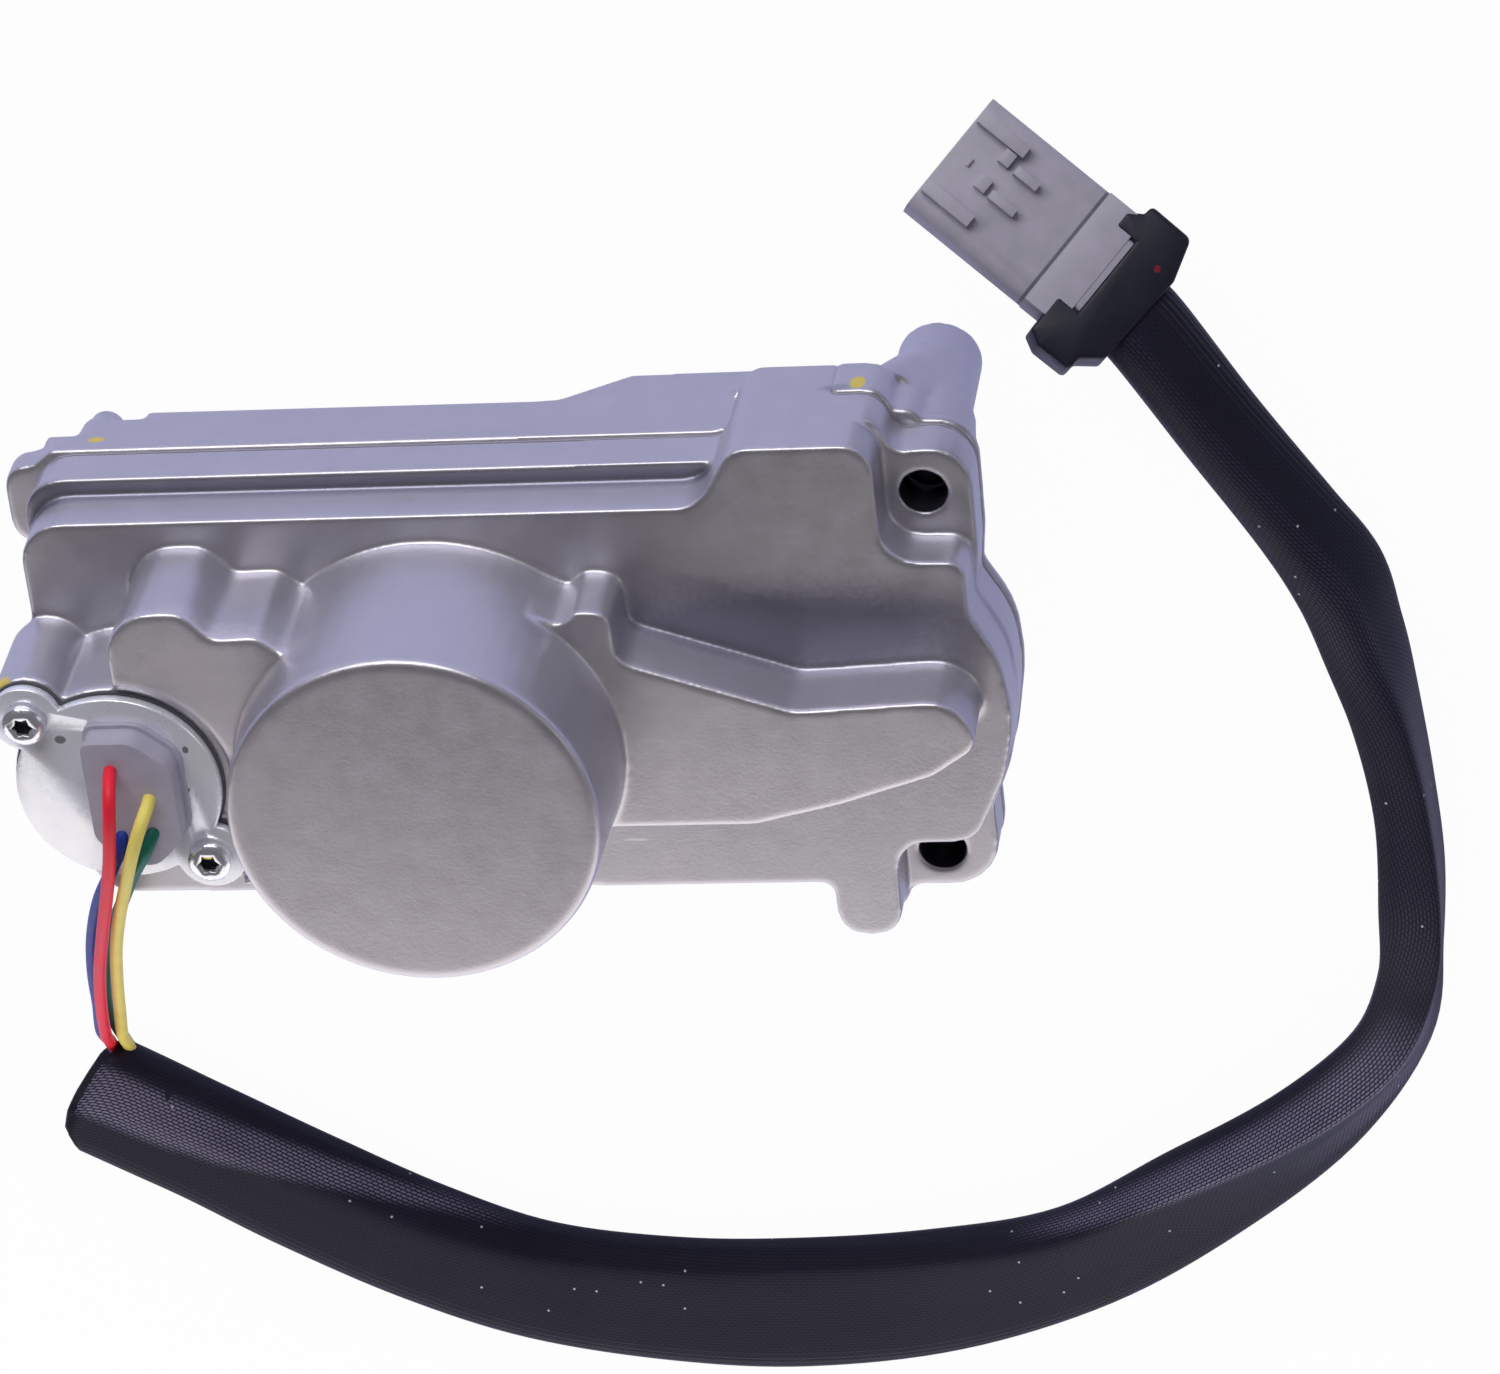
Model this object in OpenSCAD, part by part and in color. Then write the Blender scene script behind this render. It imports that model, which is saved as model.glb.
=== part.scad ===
/* [Levels] */
// Height of the parting plane above the mounting face
seam_z = 40; // [38:0.5:42]
// Height of the front casting's lip above the parting plane
lip_h = 10; // [8:0.5:12]
// Height of the main face above the parting plane
main_h = 20.5; // [19.5:0.5:23]
// Height of the gear arm above the main face
arm_h = 15; // [14:0.5:18]
// Height of the connector bump above the main face
bump_h = 24.7; // [23:0.1:27]
// Height of the motor dome above the main face
dome_h = 40.6; // [39.6:0.1:44]
// Depth of the shallow tray behind the parting plane
tray_depth = 15.5; // [14:0.5:16.5]
// Depth of the gear sump behind the parting plane
sump_depth = 24; // [22:0.5:24.5]

/* [Castings] */
// Wall thickness of both castings
wall = 3; // [2.5:0.1:3.5]
// Outer radius of the motor dome at its front
dome_r = 36; // [35.4:0.1:37]
// Extra radius of the dome at its foot, from draft
dome_draft = 0.8; // [0.2:0.1:1.2]
// Inner radius of the motor dome
dome_bore_r = 32; // [31:0.1:32.2]
// Thickness of the housing gasket
gasket_t = 0.4; // [0.3:0.1:0.6]
// Radius of the mounting legs
leg_r = 8.3; // [8:0.1:9.2]
// Radius of the two bolt holes
mount_r = 4.2; // [4:0.05:4.5]
// Radius of the tapped hole in the third leg
tapped_r = 3.4; // [3:0.1:4]
// Radius of the pilot boss round the output
pilot_r = 19; // [18:0.1:21]
// Height of the pilot boss
pilot_h = 8; // [7:0.5:8.5]

/* [Motor] */
// Length of the stator core
core_h = 24; // [20:0.5:25]
// Inner radius of the stator core
core_bore_r = 16; // [15.8:0.1:17]
// Outer radius of the rotor magnet
rotor_r = 15.2; // [14:0.1:15.4]
// Radius of the motor shaft
motor_shaft_r = 3; // [2.5:0.1:3.5]
// Outer radius of the motor bearings
motor_bearing_r = 9.5; // [9:0.1:10]
// Width of the motor bearings
motor_bearing_w = 6; // [5:0.5:6.5]

/* [Gear train] */
// Distance from the motor axis to the output axis along X
output_x = 58; // [57:0.1:59]
// Distance from the motor axis to the output axis along Y
output_y = -2; // [-3:0.1:0]
// Teeth on the motor pinion and on the idler pinion
pinion_teeth = 14; // [14:1:15]
// Teeth on the idler wheel and on the full output gear
wheel_teeth = 56; // [54:1:57]
// Module of the motor stage
motor_module = 0.8; // [0.78:0.01:0.82]
// Module of the output stage
output_module = 1; // [0.98:0.01:1.02]
// Backlash, taken from each tooth's thickness at the pitch circle
backlash = 0.12; // [0.08:0.01:0.2]
// Running clearance between a shaft and its bore, radial
running_fit = 0.05; // [0.02:0.01:0.1]
// Radius of the output shaft
output_shaft_r = 6; // [5.5:0.1:6.3]
// Radius of the idler axle
idler_axle_r = 2.5; // [2:0.1:3]

/* [Connector flange] */
// Radius of the flange plate
plate_r = 20; // [19:0.1:20.4]
// Radius of the plate's lobe round each screw
lobe_r = 6.9; // [6.2:0.1:7.2]
// Thickness of the flange plate
plate_t = 2.2; // [1.8:0.1:2.6]
// Thickness of the flange gasket
flange_gasket_t = 0.6; // [0.4:0.1:0.8]
// Offset of each flange screw from the flange centre, along X and along Y
screw_offset = 15.9; // [15.4:0.1:16.4]
// Height of the grommet above the plate
grommet_h = 7; // [6:0.5:8]

/* [Lead] */
// Radius of each wire
wire_r = 1.3; // [1.1:0.05:1.35]
// Width of the flat sleeve, as a share of its drawn width
sleeve_scale = 1; // [0.9:0.01:1]
// Half width of the plug shell
plug_half_w = 13.2; // [12.5:0.1:13.6]
// Half thickness of the plug shell
plug_half_t = 6.9; // [6.4:0.1:7]

/* [Hidden] */
$fn = 48;
eps = 0.01;

// Places in plan, from the motor axis
hole_a = [95.5, 39.3];
hole_b = [91.7, -41.5];
hole_c = [-58, 4];
leg_a = [93.6, 40.2];
leg_b = [92.4, -41];
flange_c = [-60.1, -0.6];
output_c = [output_x, output_y];
flange_screw_places = [flange_c + screw_offset * [-1, 1], flange_c + screw_offset * [1, -1]];
board_places = [[-66.5, 31], [-66.5, -31], [7, 31], [7, -31]];
plate_screw_angles = [30, 150, 270];

// Heights above the mounting face
lip_z = seam_z + lip_h;
main_z = seam_z + main_h;
arm_z = main_z + arm_h;
bump_z = main_z + bump_h;
recess_depth = 2.2;
pad_margin = 0.8;
recess_margin = 2.6;
seat_z = bump_z - recess_depth;
dome_z = main_z + dome_h;
dome_inner_z = dome_z - wall;
tray_z = seam_z - tray_depth;
end_step = 2.5;
end_x = -59.5;
sump_z = seam_z - sump_depth;
pilot_z = sump_z - pilot_h;
rear_top_z = seam_z - gasket_t;
rim_z = rear_top_z - 3;
lug_z = tray_z + 8.5;
ear_z = seam_z - 11.6;
ear_seat_z = ear_z + 3.6;

// Seam screws as [x, y, height of the head's seat]
seam_places = [[-68.6, 42.6, tray_z], [80, 50.2, ear_seat_z], [77.6, -49.4, tray_z], [-50, -46.5, tray_z],
    [20, -46.5, tray_z]];

// Flange, board and motor plate
plate_z = seat_z + flange_gasket_t;
plate_top = plate_z + plate_t;
board_z = tray_z + wall + 3.5;
board_t = 1.6;
board_top = board_z + board_t;

// Motor, from the main face forward
motor_plate_t = 3;
motor_plate_r = 37.5;
motor_plate_z = main_z - wall - motor_plate_t;
motor_plate_top = main_z - wall;
rear_bearing_z = motor_plate_z + 1.5;
hub_r = motor_bearing_r + 2.5;
front_bearing_z = dome_inner_z - motor_bearing_w;
core_rise = 7.5;
core_z = main_z + core_rise;
core_top = core_z + core_h;
coil_inner_gap = 1.5;
coil_inner_r = core_bore_r + coil_inner_gap;
coil_outer_gap = 2;
coil_outer_r = dome_bore_r - coil_outer_gap;
coil_rise = 4;
slots = 9;
slot_w = 4.4;
slot_wall = 2.5;
slot_from = core_bore_r + slot_wall;
slot_to = coil_outer_r - 1.5;
plate_screw_r = 1.25;
plate_screw_at = dome_bore_r + 2.2;
plate_screw_grip = 7.5;
plate_head_r = plate_screw_r + 1.2;
plate_head_h = 1.8;

// Output shaft's parts
bearing_outer_r = 10.5;
bearing_w = 5;
lower_bearing_z = sump_z + wall - bearing_w;
upper_bearing_outer_r = 9.4;
upper_bearing_z = main_z - 4;
upper_boss_r = 12.2;
web_t = 1.4;
seal_top = lower_bearing_z - web_t;
output_pinion_teeth = 15;
output_pinion_h = 6.6;
output_pinion_top = pilot_z - 0.2;
sensor_bore_r = 8;
shaft_top = upper_bearing_z + 9.5;
magnet_r = 5;
magnet_h = 3;
sensor_t = 1.5;
o_ring_r = 1.2;
o_ring_z = pilot_z + 3.9;
o_ring_at = pilot_r - 0.55;

// Gear train, from its pitch radii
motor_pinion_r = motor_module * pinion_teeth / 2;
idler_wheel_r = motor_module * wheel_teeth / 2;
idler_pinion_r = output_module * pinion_teeth / 2;
output_gear_r = output_module * wheel_teeth / 2;
first_centres = motor_pinion_r + idler_wheel_r;
second_centres = idler_pinion_r + output_gear_r;
output_distance = norm(output_c);
idler_along = (first_centres^2 - second_centres^2 + output_distance^2) / (2 * output_distance);
idler_off = sqrt(first_centres^2 - idler_along^2);
output_dir = output_c / output_distance;
idler_c = idler_along * output_dir + idler_off * [-output_dir.y, output_dir.x];
idler_pinion_z = seam_z - 7;
idler_wheel_t = 4.8;
idler_head_gap = 1.7;
idler_top_z = motor_plate_z - plate_head_h - idler_head_gap;
idler_wheel_z = idler_top_z - idler_wheel_t;
idler_boss_r = 6;
axle_from = tray_z - 0.5;
axial_gap = 0.5;
output_gear_z = seam_z - 6;
output_gear_t = 7;
output_hub_r = 10;
motor_pinion_z = idler_wheel_z - 2.2;
sector_from = -115;
sector_to = 15;
sector_step = (sector_to - sector_from) / 5;
sector_reach = output_gear_r + 12;

// Outlines in plan as [x, y, corner radius], clockwise
lip_corners = [[-80, 47.3, 9], [57, 47.5, 3], [61, 55.9, 5], [87.4, 55.9, 5], [90.4, 48.2, 3],
    [105.2, 49.4, 8], [104.8, 26, 3], [103.8, 17.6, 3], [109.3, 7.3, 24], [109.9, -5.2, 40],
    [107, -21.6, 30], [102.8, -31.6, 3], [102.8, -50.2, 10], [84.4, -49.6, 3], [83.8, -55.6, 4.5],
    [71.4, -55.6, 4.5], [70.6, -45.6, 3], [-80, -45, 8]];
main_corners = [[-79, 20, 4], [-79, 43.5, 9], [53.6, 43.4, 7], [61.2, 55.9, 6], [88, 55.9, 6],
    [87.8, 30.2, 7], [103.6, 29.8, 3.5], [103.2, 18, 4], [108.4, 7.6, 22], [109.9, -6, 36],
    [107, -18.6, 24], [100, -33.2, 6], [84.6, -33.2, 6], [83.9, -54.3, 5.5], [71.5, -54.3, 5.5],
    [71.3, -42.1, 2.5], [-76, -41.2, 9]];
case_corners = [[-79, 20, 4], [-79, 43.5, 9], [87.8, 43.4, 7], [87.8, 30.2, 7], [103.6, 29.8, 3.5],
    [103.2, 18, 4], [108.4, 7.6, 22], [109.9, -6, 36], [107, -18.6, 24], [100, -33.2, 6],
    [84.6, -33.2, 6], [84.2, -41.9, 5], [-76, -41.2, 9]];
seam_corners = [[-80.2, 27, 2], [-86, 27.6, 5], [-86, 44.4, 5], [-79.6, 44.6, 3], [-75.6, 47.8, 2],
    [56.2, 48, 3], [60.8, 56.1, 5], [87.6, 56.1, 5], [90.8, 48.8, 3], [105.4, 49.6, 8], [105, 26, 3],
    [104, 17.8, 3], [109.5, 7.4, 24], [110.1, -5.2, 40], [107.2, -21.6, 30], [103, -31.6, 3],
    [103, -50.4, 10], [84, -50, 3], [83.6, -56, 4.5], [71, -56, 4.5], [70.2, -46, 3],
    [-80.2, -45.4, 8]];
body_corners = [[-80.2, 27, 2], [-86, 27.6, 5], [-86, 44.4, 5], [-79.6, 44.6, 3], [-75.6, 47.6, 2],
    [56.2, 47.5, 3], [60.8, 56.1, 5], [87.6, 56.1, 5], [90.8, 48.6, 3], [103.8, 48.8, 7.5],
    [101.1, 11.6, 4], [107.2, -4, 14], [106.4, -20, 16], [101, -32, 4], [101, -49, 8], [84, -49, 3],
    [83, -55, 4.5], [71.6, -55, 4.5], [70.8, -45.4, 3], [-79.4, -44.8, 8]];
rear_case_corners = [[-79, 20, 4], [-79, 43.5, 9], [87.8, 43.4, 7], [87.8, 30.2, 7], [101, 29.8, 3.5],
    [99.6, 12, 5], [105.8, -3, 12], [104.6, -20, 12], [100, -33.2, 5], [84.6, -33.2, 6],
    [84.2, -41.9, 5], [-76, -41.2, 9]];
arm_corners = [[22, 30, 0], [27.4, 27.2, 1.5], [31.2, 30.2, 3], [37.4, 29.4, 3.4], [37.6, 18.7, 4],
    [70.4, 6.7, 8], [103, 8.4, 8.5], [104.5, -2.4, 4.5], [95.5, -8.6, 10], [77, -14.6, 14],
    [60, -18.7, 12], [22, -18.6, 0]];
arm_cavity_corners = [[30, 14, 2], [38, 14, 2], [69.6, 3, 6], [99, 5.4, 4], [99.8, -1.6, 3],
    [87, -7.2, 8], [62, -14.4, 8], [30, -14.4, 2]];
bump_corners = [[-62, 18, 0], [-58.2, 19.6, 2.5], [-58.2, 37.8, 10], [-42.6, 37.8, 6], [-37.4, 31.7, 4],
    [-29, 32.1, 3], [-24.6, 28.6, 2], [-14, 30, 0], [-14, -22, 0], [-38, -24, 4], [-58, -19, 4]];
slope_from = 22.5;
slope_to = 35.5;
slope_y = 47.9;
slope_w = 88;
sump_corners = [[slope_to, 47.9, 0.2], [57, 48, 2], [86.4, 48.7, 4], [90, 30, 10], [99.5, 8, 20],
    [102.5, -10, 20], [97, -37, 12], [slope_to, -41.4, 0.2]];
web_at = [87.4, 50.6];
web_r = 3.6;
web_from = 8;
stem_inset = 1.2;
brim_w = 0.8;
brim_t = 1.4;
grommet_corners = [[-64.3, 13.8, 1.8], [-54.5, 13.9, 6], [-47.3, 8, 5], [-47.3, -8.2, 4], [-53, -13.8, 4],
    [-60, -13, 4], [-64.3, -7, 4]];
board_corners = [[-71, -36, 3], [-71, 36, 3], [12, 36, 3], [12, -36, 3]];
capacitor_places = [[-58, 26], [-45, 26], [-32, 26]];
capacitor_r = 5.2;
capacitor_h = 9;
chips = [[-36, -12, 14, 14, 1.4], [-60, -24, 9, 7, 2], [-20, 8, 8, 10, 2], [-10, -28, 12, 6, 2.2],
    [-8, 14, 6, 6, 1.2], [-56, 4, 16, 8, 7]];
ear_y = 49.5;
lug_wall_y = 44.2;
lug_x = -71;
lug_wall_x = -79.6;
apron_from = [56.6, 48.4];
apron_to = [78.6, 60];
apron_t = 1.4;
body_gap = 0.3;
reach = 130;

// Fasteners
seam_screw_r = 2;
seam_head_r = 3.4;
seam_head_h = 3.2;
seam_screw_len = 23;
hole_spare = 0.5;
ear_r = 4.6;
flange_screw_r = 1.9;
flange_head_r = 4.2;
flange_head_h = 3;
flange_screw_depth = 10;
screw_clearance = 0.3;
board_screw_r = 1.2;
board_head_r = 2.2;
board_head_h = 1.6;
board_grip = 2.6;
board_post_r = 3.5;
bay_r = 12.5;
leg_c_r = leg_r - 0.3;
tapped_depth = 18;
socket_r = 1.7;
socket_h = 1.8;
flange_boss_r = 5;
plug_in_depth = 8;
star_tip_r = 2.2;
star_root_r = 1.5;
star_depth = 1.7;
head_chamfer = 0.8;

// Routes of the wires, from the grommet to the sleeve, as [x, y, z]
red_route = [[-59.5, 7.2, 90], [-58.7, 8, 95], [-58.2, 5.7, 99.5], [-59, -0.7, 100.3], [-61.2, -10.6, 97],
    [-64.9, -22.3, 90.4], [-70.2, -37.7, 80], [-76.8, -56.5, 65], [-82.8, -75.8, 49],
    [-88.1, -94.4, 31.8], [-91.9, -109.7, 16.6], [-91.2, -118, 10.6]];
yellow_route = [[-52.8, 0.8, 90], [-52.3, 1.3, 95], [-53.4, -1.2, 99.5], [-56, -7.8, 99],
    [-60.4, -19.2, 92], [-65.5, -33.2, 81.4], [-71.3, -50, 67.2], [-77, -69, 51], [-82.6, -88.5, 33.4],
    [-86.9, -105.2, 18.6], [-88.1, -116, 9.8]];
blue_route = [[-59.1, -6.6, 90], [-59, -7, 92.5], [-60.5, -11.2, 93], [-64, -18.2, 89.6],
    [-69.9, -30.3, 80.4], [-77, -48.5, 65.2], [-83.2, -67.7, 49], [-88.8, -87.3, 31.6],
    [-93, -104.8, 15.4], [-94.4, -117.4, 6.9]];
green_route = [[-52.5, -5.8, 90], [-52.8, -6.4, 92.5], [-54.8, -10.2, 94], [-58.9, -17.5, 90],
    [-65.1, -30.4, 79.4], [-73.3, -49.4, 61], [-80.1, -68.4, 45], [-85.6, -87, 29.6], [-89.8, -105.4, 13.6],
    [-90.9, -118.4, 6.2]];

// Route of the sleeve, as [x, y, z, half width, half thickness, roll]
sleeve_route = [[-98.1, -127.4, 8, 15.4, 6.5, 0], [-87.6, -134.1, 7.6, 15.6, 6.5, 0],
    [-76.7, -141.2, 7.2, 15.5, 6.5, 0], [-58.4, -153.4, 6.8, 16, 6.3, 0],
    [-35.2, -167.1, 6.5, 15.8, 6, 0], [-11.4, -177.6, 6.2, 16, 5.8, 0], [16.9, -183.2, 6, 16.5, 5.6, 0],
    [44.1, -184.5, 6, 17, 5.5, 0], [74.7, -181.1, 6.5, 16, 5.8, -6], [105.2, -171.4, 8, 13.9, 6, -14],
    [131.6, -154.7, 9.5, 13.7, 6.5, -25], [155.6, -135.8, 11.2, 12.5, 6.8, -42],
    [172.5, -114, 12.8, 12.5, 6.8, -65], [178.1, -94.3, 13.2, 12.8, 6.6, -85],
    [179.3, -75.5, 13.2, 12.9, 6.8, -90], [178.9, -54, 13.2, 12.9, 7, -90],
    [176.3, -32.9, 13.4, 12.8, 7.4, -85], [172.9, -16.8, 14, 12.2, 8, -70],
    [169.3, -2.7, 15, 11.5, 8, -60], [162, 11.8, 16.5, 10.8, 7.5, -50], [149.3, 35.8, 21, 9.8, 6.4, -40],
    [137.5, 59.6, 26, 9.2, 5.5, -35], [133.6, 63, 25, 9.2, 5.5, -35]];
sleeve_sides = 12;
wire_sides = 8;

// Plug in its own frame: x from the mating end to the exit, y across, z out of the broad face
plug_c = [101.2, 91.6, 13];
plug_turn = [-35, -14, -39.2];
shell_len = 33;
tail_len = shell_len + 5;
tail_half_w = 8.5;
mouth_depth = 15;
mouth_wall = 1.4;
core_half_w = 9.4;
core_half_t = 3.4;
seal_len = 4;
terminal_count = 5;
terminal_pitch = 3.4;
terminal_w = 2.4;
terminal_t = 0.8;
terminal_slack = 0.3;
rib_h = 0.9;
ribs = [[0.5, -9.55, 11, 2.3], [0.5, 7.25, 11, 2.3], [12, 4, 5.2, 1.2], [11, -2.6, 6, 1.2]];
retainer_half_t = 7.2;
retainer_corners = [[0, tail_half_w, 0], [0, 12, 0.8], [3, 13.9, 0.8], [3.2, 16, 1], [12.8, 15.8, 1.6],
    [15.4, 7.4, 1], [14.4, -12.4, 1], [10.6, -15.4, 1], [10.4, -18.3, 1], [3, -18.4, 1.4],
    [0, -16.8, 0.8], [0, -tail_half_w, 0], [tail_len - shell_len, -tail_half_w, 0],
    [tail_len - shell_len, tail_half_w, 0]];

function unit(v) = v / norm(v);
function corner_arc(a, b, c, steps) =
    let (here = [b.x, b.y], u = unit([a.x, a.y] - here), v = unit([c.x, c.y] - here),
        half = acos(u * v) / 2, reach = b[2] / tan(half), mid = unit(u + v),
        centre = here + mid * b[2] / sin(half), first = here + u * reach - centre,
        last = here + v * reach - centre, side = first.x * last.y - first.y * last.x,
        sweep = sign(side) * (180 - 2 * half), from = atan2(first.y, first.x))
    b[2] == 0 ? [here]
    : [for (i = [0:steps]) centre + b[2] * [cos(from + sweep * i / steps), sin(from + sweep * i / steps)]];
function rounded(corners, steps = 5) = let (n = len(corners))
    [for (i = [0:n - 1])
        each corner_arc(corners[(i + n - 1) % n], corners[i], corners[(i + 1) % n], steps)];
function inset_corner(a, b, c, d) =
    let (here = [b.x, b.y], u = unit([a.x, a.y] - here), v = unit([c.x, c.y] - here),
        half = acos(u * v) / 2, outward = sign(u.x * v.y - u.y * v.x),
        moved = here + unit(u + v) * outward * d / sin(half))
    [moved.x, moved.y, max(0.4, b[2] - outward * d)];
function inset(corners, d) = let (n = len(corners))
    [for (i = [0:n - 1]) inset_corner(corners[(i + n - 1) % n], corners[i], corners[(i + 1) % n], d)];

module placed() translate([-hole_a.x, -hole_a.y, 0]) children();
module at(place, z = 0) translate([place.x, place.y, z]) children();
module slab(corners, from_z, to_z, steps = 5)
    translate([0, 0, from_z]) linear_extrude(to_z - from_z) polygon(rounded(corners, steps));
module rod(r, from_z, to_z) translate([0, 0, from_z]) cylinder(r = r, h = to_z - from_z);
module tube(r, bore, from_z, to_z) difference() {
    rod(r, from_z, to_z);
    rod(bore, from_z - 1, to_z + 1);
}

// Flange plan: a disc with a lobe at each screw
module flange_plan(disc, lobe) {
    circle(r = disc);
    for (side = [-1, 1]) translate(side * screw_offset * [-1, 1]) circle(r = lobe);
    rotate(-45) square([2 * screw_offset * sqrt(2), 1.5 * lobe], center = true);
}

// Involute gear outline with stub teeth, a tooth centred on angle 0
pressure = 20;
tip_share = 0.8;
root_share = 1.05;
function inv(a) = tan(a) * 180 / PI - a;
function flank(base, r) = inv(acos(min(1, base / r)));
function tooth(m, z, steps = 3) =
    let (pitch = m * z / 2, base = pitch * cos(pressure), root = pitch - root_share * m,
        tip = pitch + tip_share * m, start = max(base, root),
        half = 90 / z - backlash / pitch * 45 / PI + inv(pressure))
    concat([[root, -half + flank(base, start)]],
        [for (i = [0:steps]) let (r = start + (tip - start) * i / steps) [r, -half + flank(base, r)]],
        [for (i = [steps:-1:0]) let (r = start + (tip - start) * i / steps) [r, half - flank(base, r)]],
        [[root, half - flank(base, start)]]);
function gear_points(m, z) = let (one = tooth(m, z))
    [for (k = [0:z - 1], p = one) let (a = p[1] + k * 360 / z) p[0] * [cos(a), sin(a)]];
module gear(m, z, from_z, to_z, turned = 0)
    translate([0, 0, from_z]) rotate(turned) linear_extrude(to_z - from_z) polygon(gear_points(m, z));

// Angle that puts the driven gear's gap on the driver's tooth
function meshed(from_c, to_c, driver_z, driven_z, driver_turn) =
    let (along = atan2(to_c.y - from_c.y, to_c.x - from_c.x))
    along + 180 + 180 / driven_z - (driver_turn - along) * driver_z / driven_z;
idler_turn = meshed([0, 0], idler_c, pinion_teeth, wheel_teeth, 0);
output_turn = meshed(idler_c, output_c, pinion_teeth, wheel_teeth, idler_turn);
contact_dir = atan2(idler_c.y - output_c.y, idler_c.x - output_c.x);

// Sweep of rings, each with the same number of points
module swept(rings) {
    count = len(rings);
    sides = len(rings[0]);
    polyhedron(points = [for (ring = rings) each ring], faces = concat(
        [[for (j = [0:sides - 1]) j]],
        [[for (j = [sides - 1:-1:0]) (count - 1) * sides + j]],
        [for (i = [0:count - 2], j = [0:sides - 1]) let (k = (j + 1) % sides)
            [i * sides + j, (i + 1) * sides + j, (i + 1) * sides + k]],
        [for (i = [0:count - 2], j = [0:sides - 1]) let (k = (j + 1) % sides)
            [i * sides + j, (i + 1) * sides + k, i * sides + k]]));
}
function place_of(p) = [p[0], p[1], p[2]];
function heading(route, i) =
    unit(place_of(route[min(i + 1, len(route) - 1)]) - place_of(route[max(i - 1, 0)]));
function ring(centre, across, rise, a, b, roll, sides) =
    [for (j = [0:sides - 1]) let (t = j * 360 / sides, s = a * cos(t), h = b * sin(t))
        centre + across * (s * cos(roll) - h * sin(roll)) + rise * (s * sin(roll) + h * cos(roll))];
function wire_ring(route, i) =
    let (t = heading(route, i), across = unit(cross([1, 0, 0], t)))
    ring(route[i], across, cross(t, across), wire_r, wire_r, 0, wire_sides);
function sleeve_ring(route, i) =
    let (p = route[i], t = heading(route, i), across = unit(cross(t, [0, 0, 1])))
    ring(place_of(p), across, cross(across, t), p[3] * sleeve_scale, p[4] * sleeve_scale, p[5],
        sleeve_sides);
module wire(route) placed() swept([for (i = [0:len(route) - 1]) wire_ring(route, i)]);

module front_shape() {
    slab(lip_corners, seam_z, lip_z);
    slab(main_corners, seam_z, main_z);
    slab(arm_corners, main_z - eps, arm_z);
    slab(bump_corners, main_z - eps, bump_z);
    at(flange_c, main_z - eps) linear_extrude(seat_z - main_z + eps)
        flange_plan(plate_r + pad_margin, lobe_r + pad_margin);
    rotate_extrude($fn = 96) polygon([[0, main_z - 1], [dome_r + dome_draft + 0.6, main_z - 1],
        [dome_r + dome_draft, main_z + 16], [dome_r, dome_z - 1.4], [dome_r - 0.4, dome_z - 0.4],
        [dome_r - 1.4, dome_z], [0, dome_z]]);
    for (place = seam_places) at(place) rod(ear_r, seam_z, seam_z + 4);
    // Apron over the parting line at the wide ear
    intersection() {
        slab(lip_corners, ear_z, seam_z + eps);
        apron_room(0);
    }
}

module front_casting() color([0.62, 0.61, 0.66]) placed() difference() {
    front_shape();
    // Recess for the flange plate
    at(flange_c, seat_z) linear_extrude(10)
        flange_plan(plate_r + recess_margin, lobe_r + recess_margin - 0.9);
    for (place = [hole_a, hole_b]) at(place) rod(mount_r + screw_clearance, seam_z - 1, lip_z + 20);
    // Inside of the gear case
    difference() {
        slab(inset(case_corners, wall), seam_z - 1, motor_plate_top, 3);
        at(output_c) rod(upper_boss_r, upper_bearing_z, main_z);
        for (place = seam_places) at(place) rod(ear_r, seam_z - 1, main_z);
    }
    // Inside of the gear arm
    difference() {
        slab(arm_cavity_corners, motor_plate_top - 1, arm_z - wall, 3);
        rod(dome_bore_r + wall + 1, main_z - 5, arm_z);
        at(output_c) rod(upper_boss_r, upper_bearing_z, arm_z);
    }
    at(output_c) rod(upper_bearing_outer_r, upper_bearing_z - 1, shaft_top);
    at(output_c) rod(sensor_bore_r, upper_bearing_z - 1, arm_z - wall);
    // Motor bore, round its front bearing's seat
    difference() {
        rod(dome_bore_r, motor_plate_top - 1, dome_inner_z);
        tube(hub_r, motor_bearing_r, front_bearing_z, dome_z);
    }
    // Inside of the connector bump
    difference() {
        slab(inset(bump_corners, wall), motor_plate_top - 1, seat_z - wall, 3);
        rod(dome_bore_r + wall + 1, main_z - 5, dome_z);
        for (place = flange_screw_places) at(place) rod(flange_boss_r, main_z - 5, dome_z);
    }
    at(flange_c) rod(bay_r, motor_plate_top - 1, seat_z + 5);
    for (place = flange_screw_places) at(place)
        rod(flange_screw_r, seat_z - flange_screw_depth, seat_z + 5);
    for (place = seam_places) at(place)
        rod(seam_screw_r, seam_z - 1, place.z + seam_screw_len + hole_spare);
    for (a = plate_screw_angles) rotate(a) translate([plate_screw_at, 0, 0])
        rod(plate_screw_r, motor_plate_top - 1, motor_plate_top + plate_screw_grip + 0.5);
}

module rear_levels() {
    translate([-reach, ear_y, ear_z]) cube([2 * reach, reach, tray_depth]);
    translate([end_x, -reach, tray_z]) cube([2 * reach, reach + ear_y + eps, tray_depth]);
    translate([-reach, -reach, tray_z + end_step]) cube([reach + end_x + 1, reach + ear_y, tray_depth]);
}

module apron_room(gap) {
    difference() {
        translate([apron_from.x - gap, apron_from.y - gap, ear_z - 1])
            cube([apron_to.x - apron_from.x + 2 * gap, apron_to.y - apron_from.y, seam_z - ear_z + 2]);
        slab(inset(lip_corners, apron_t + gap), 0, lip_z);
    }
}

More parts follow.
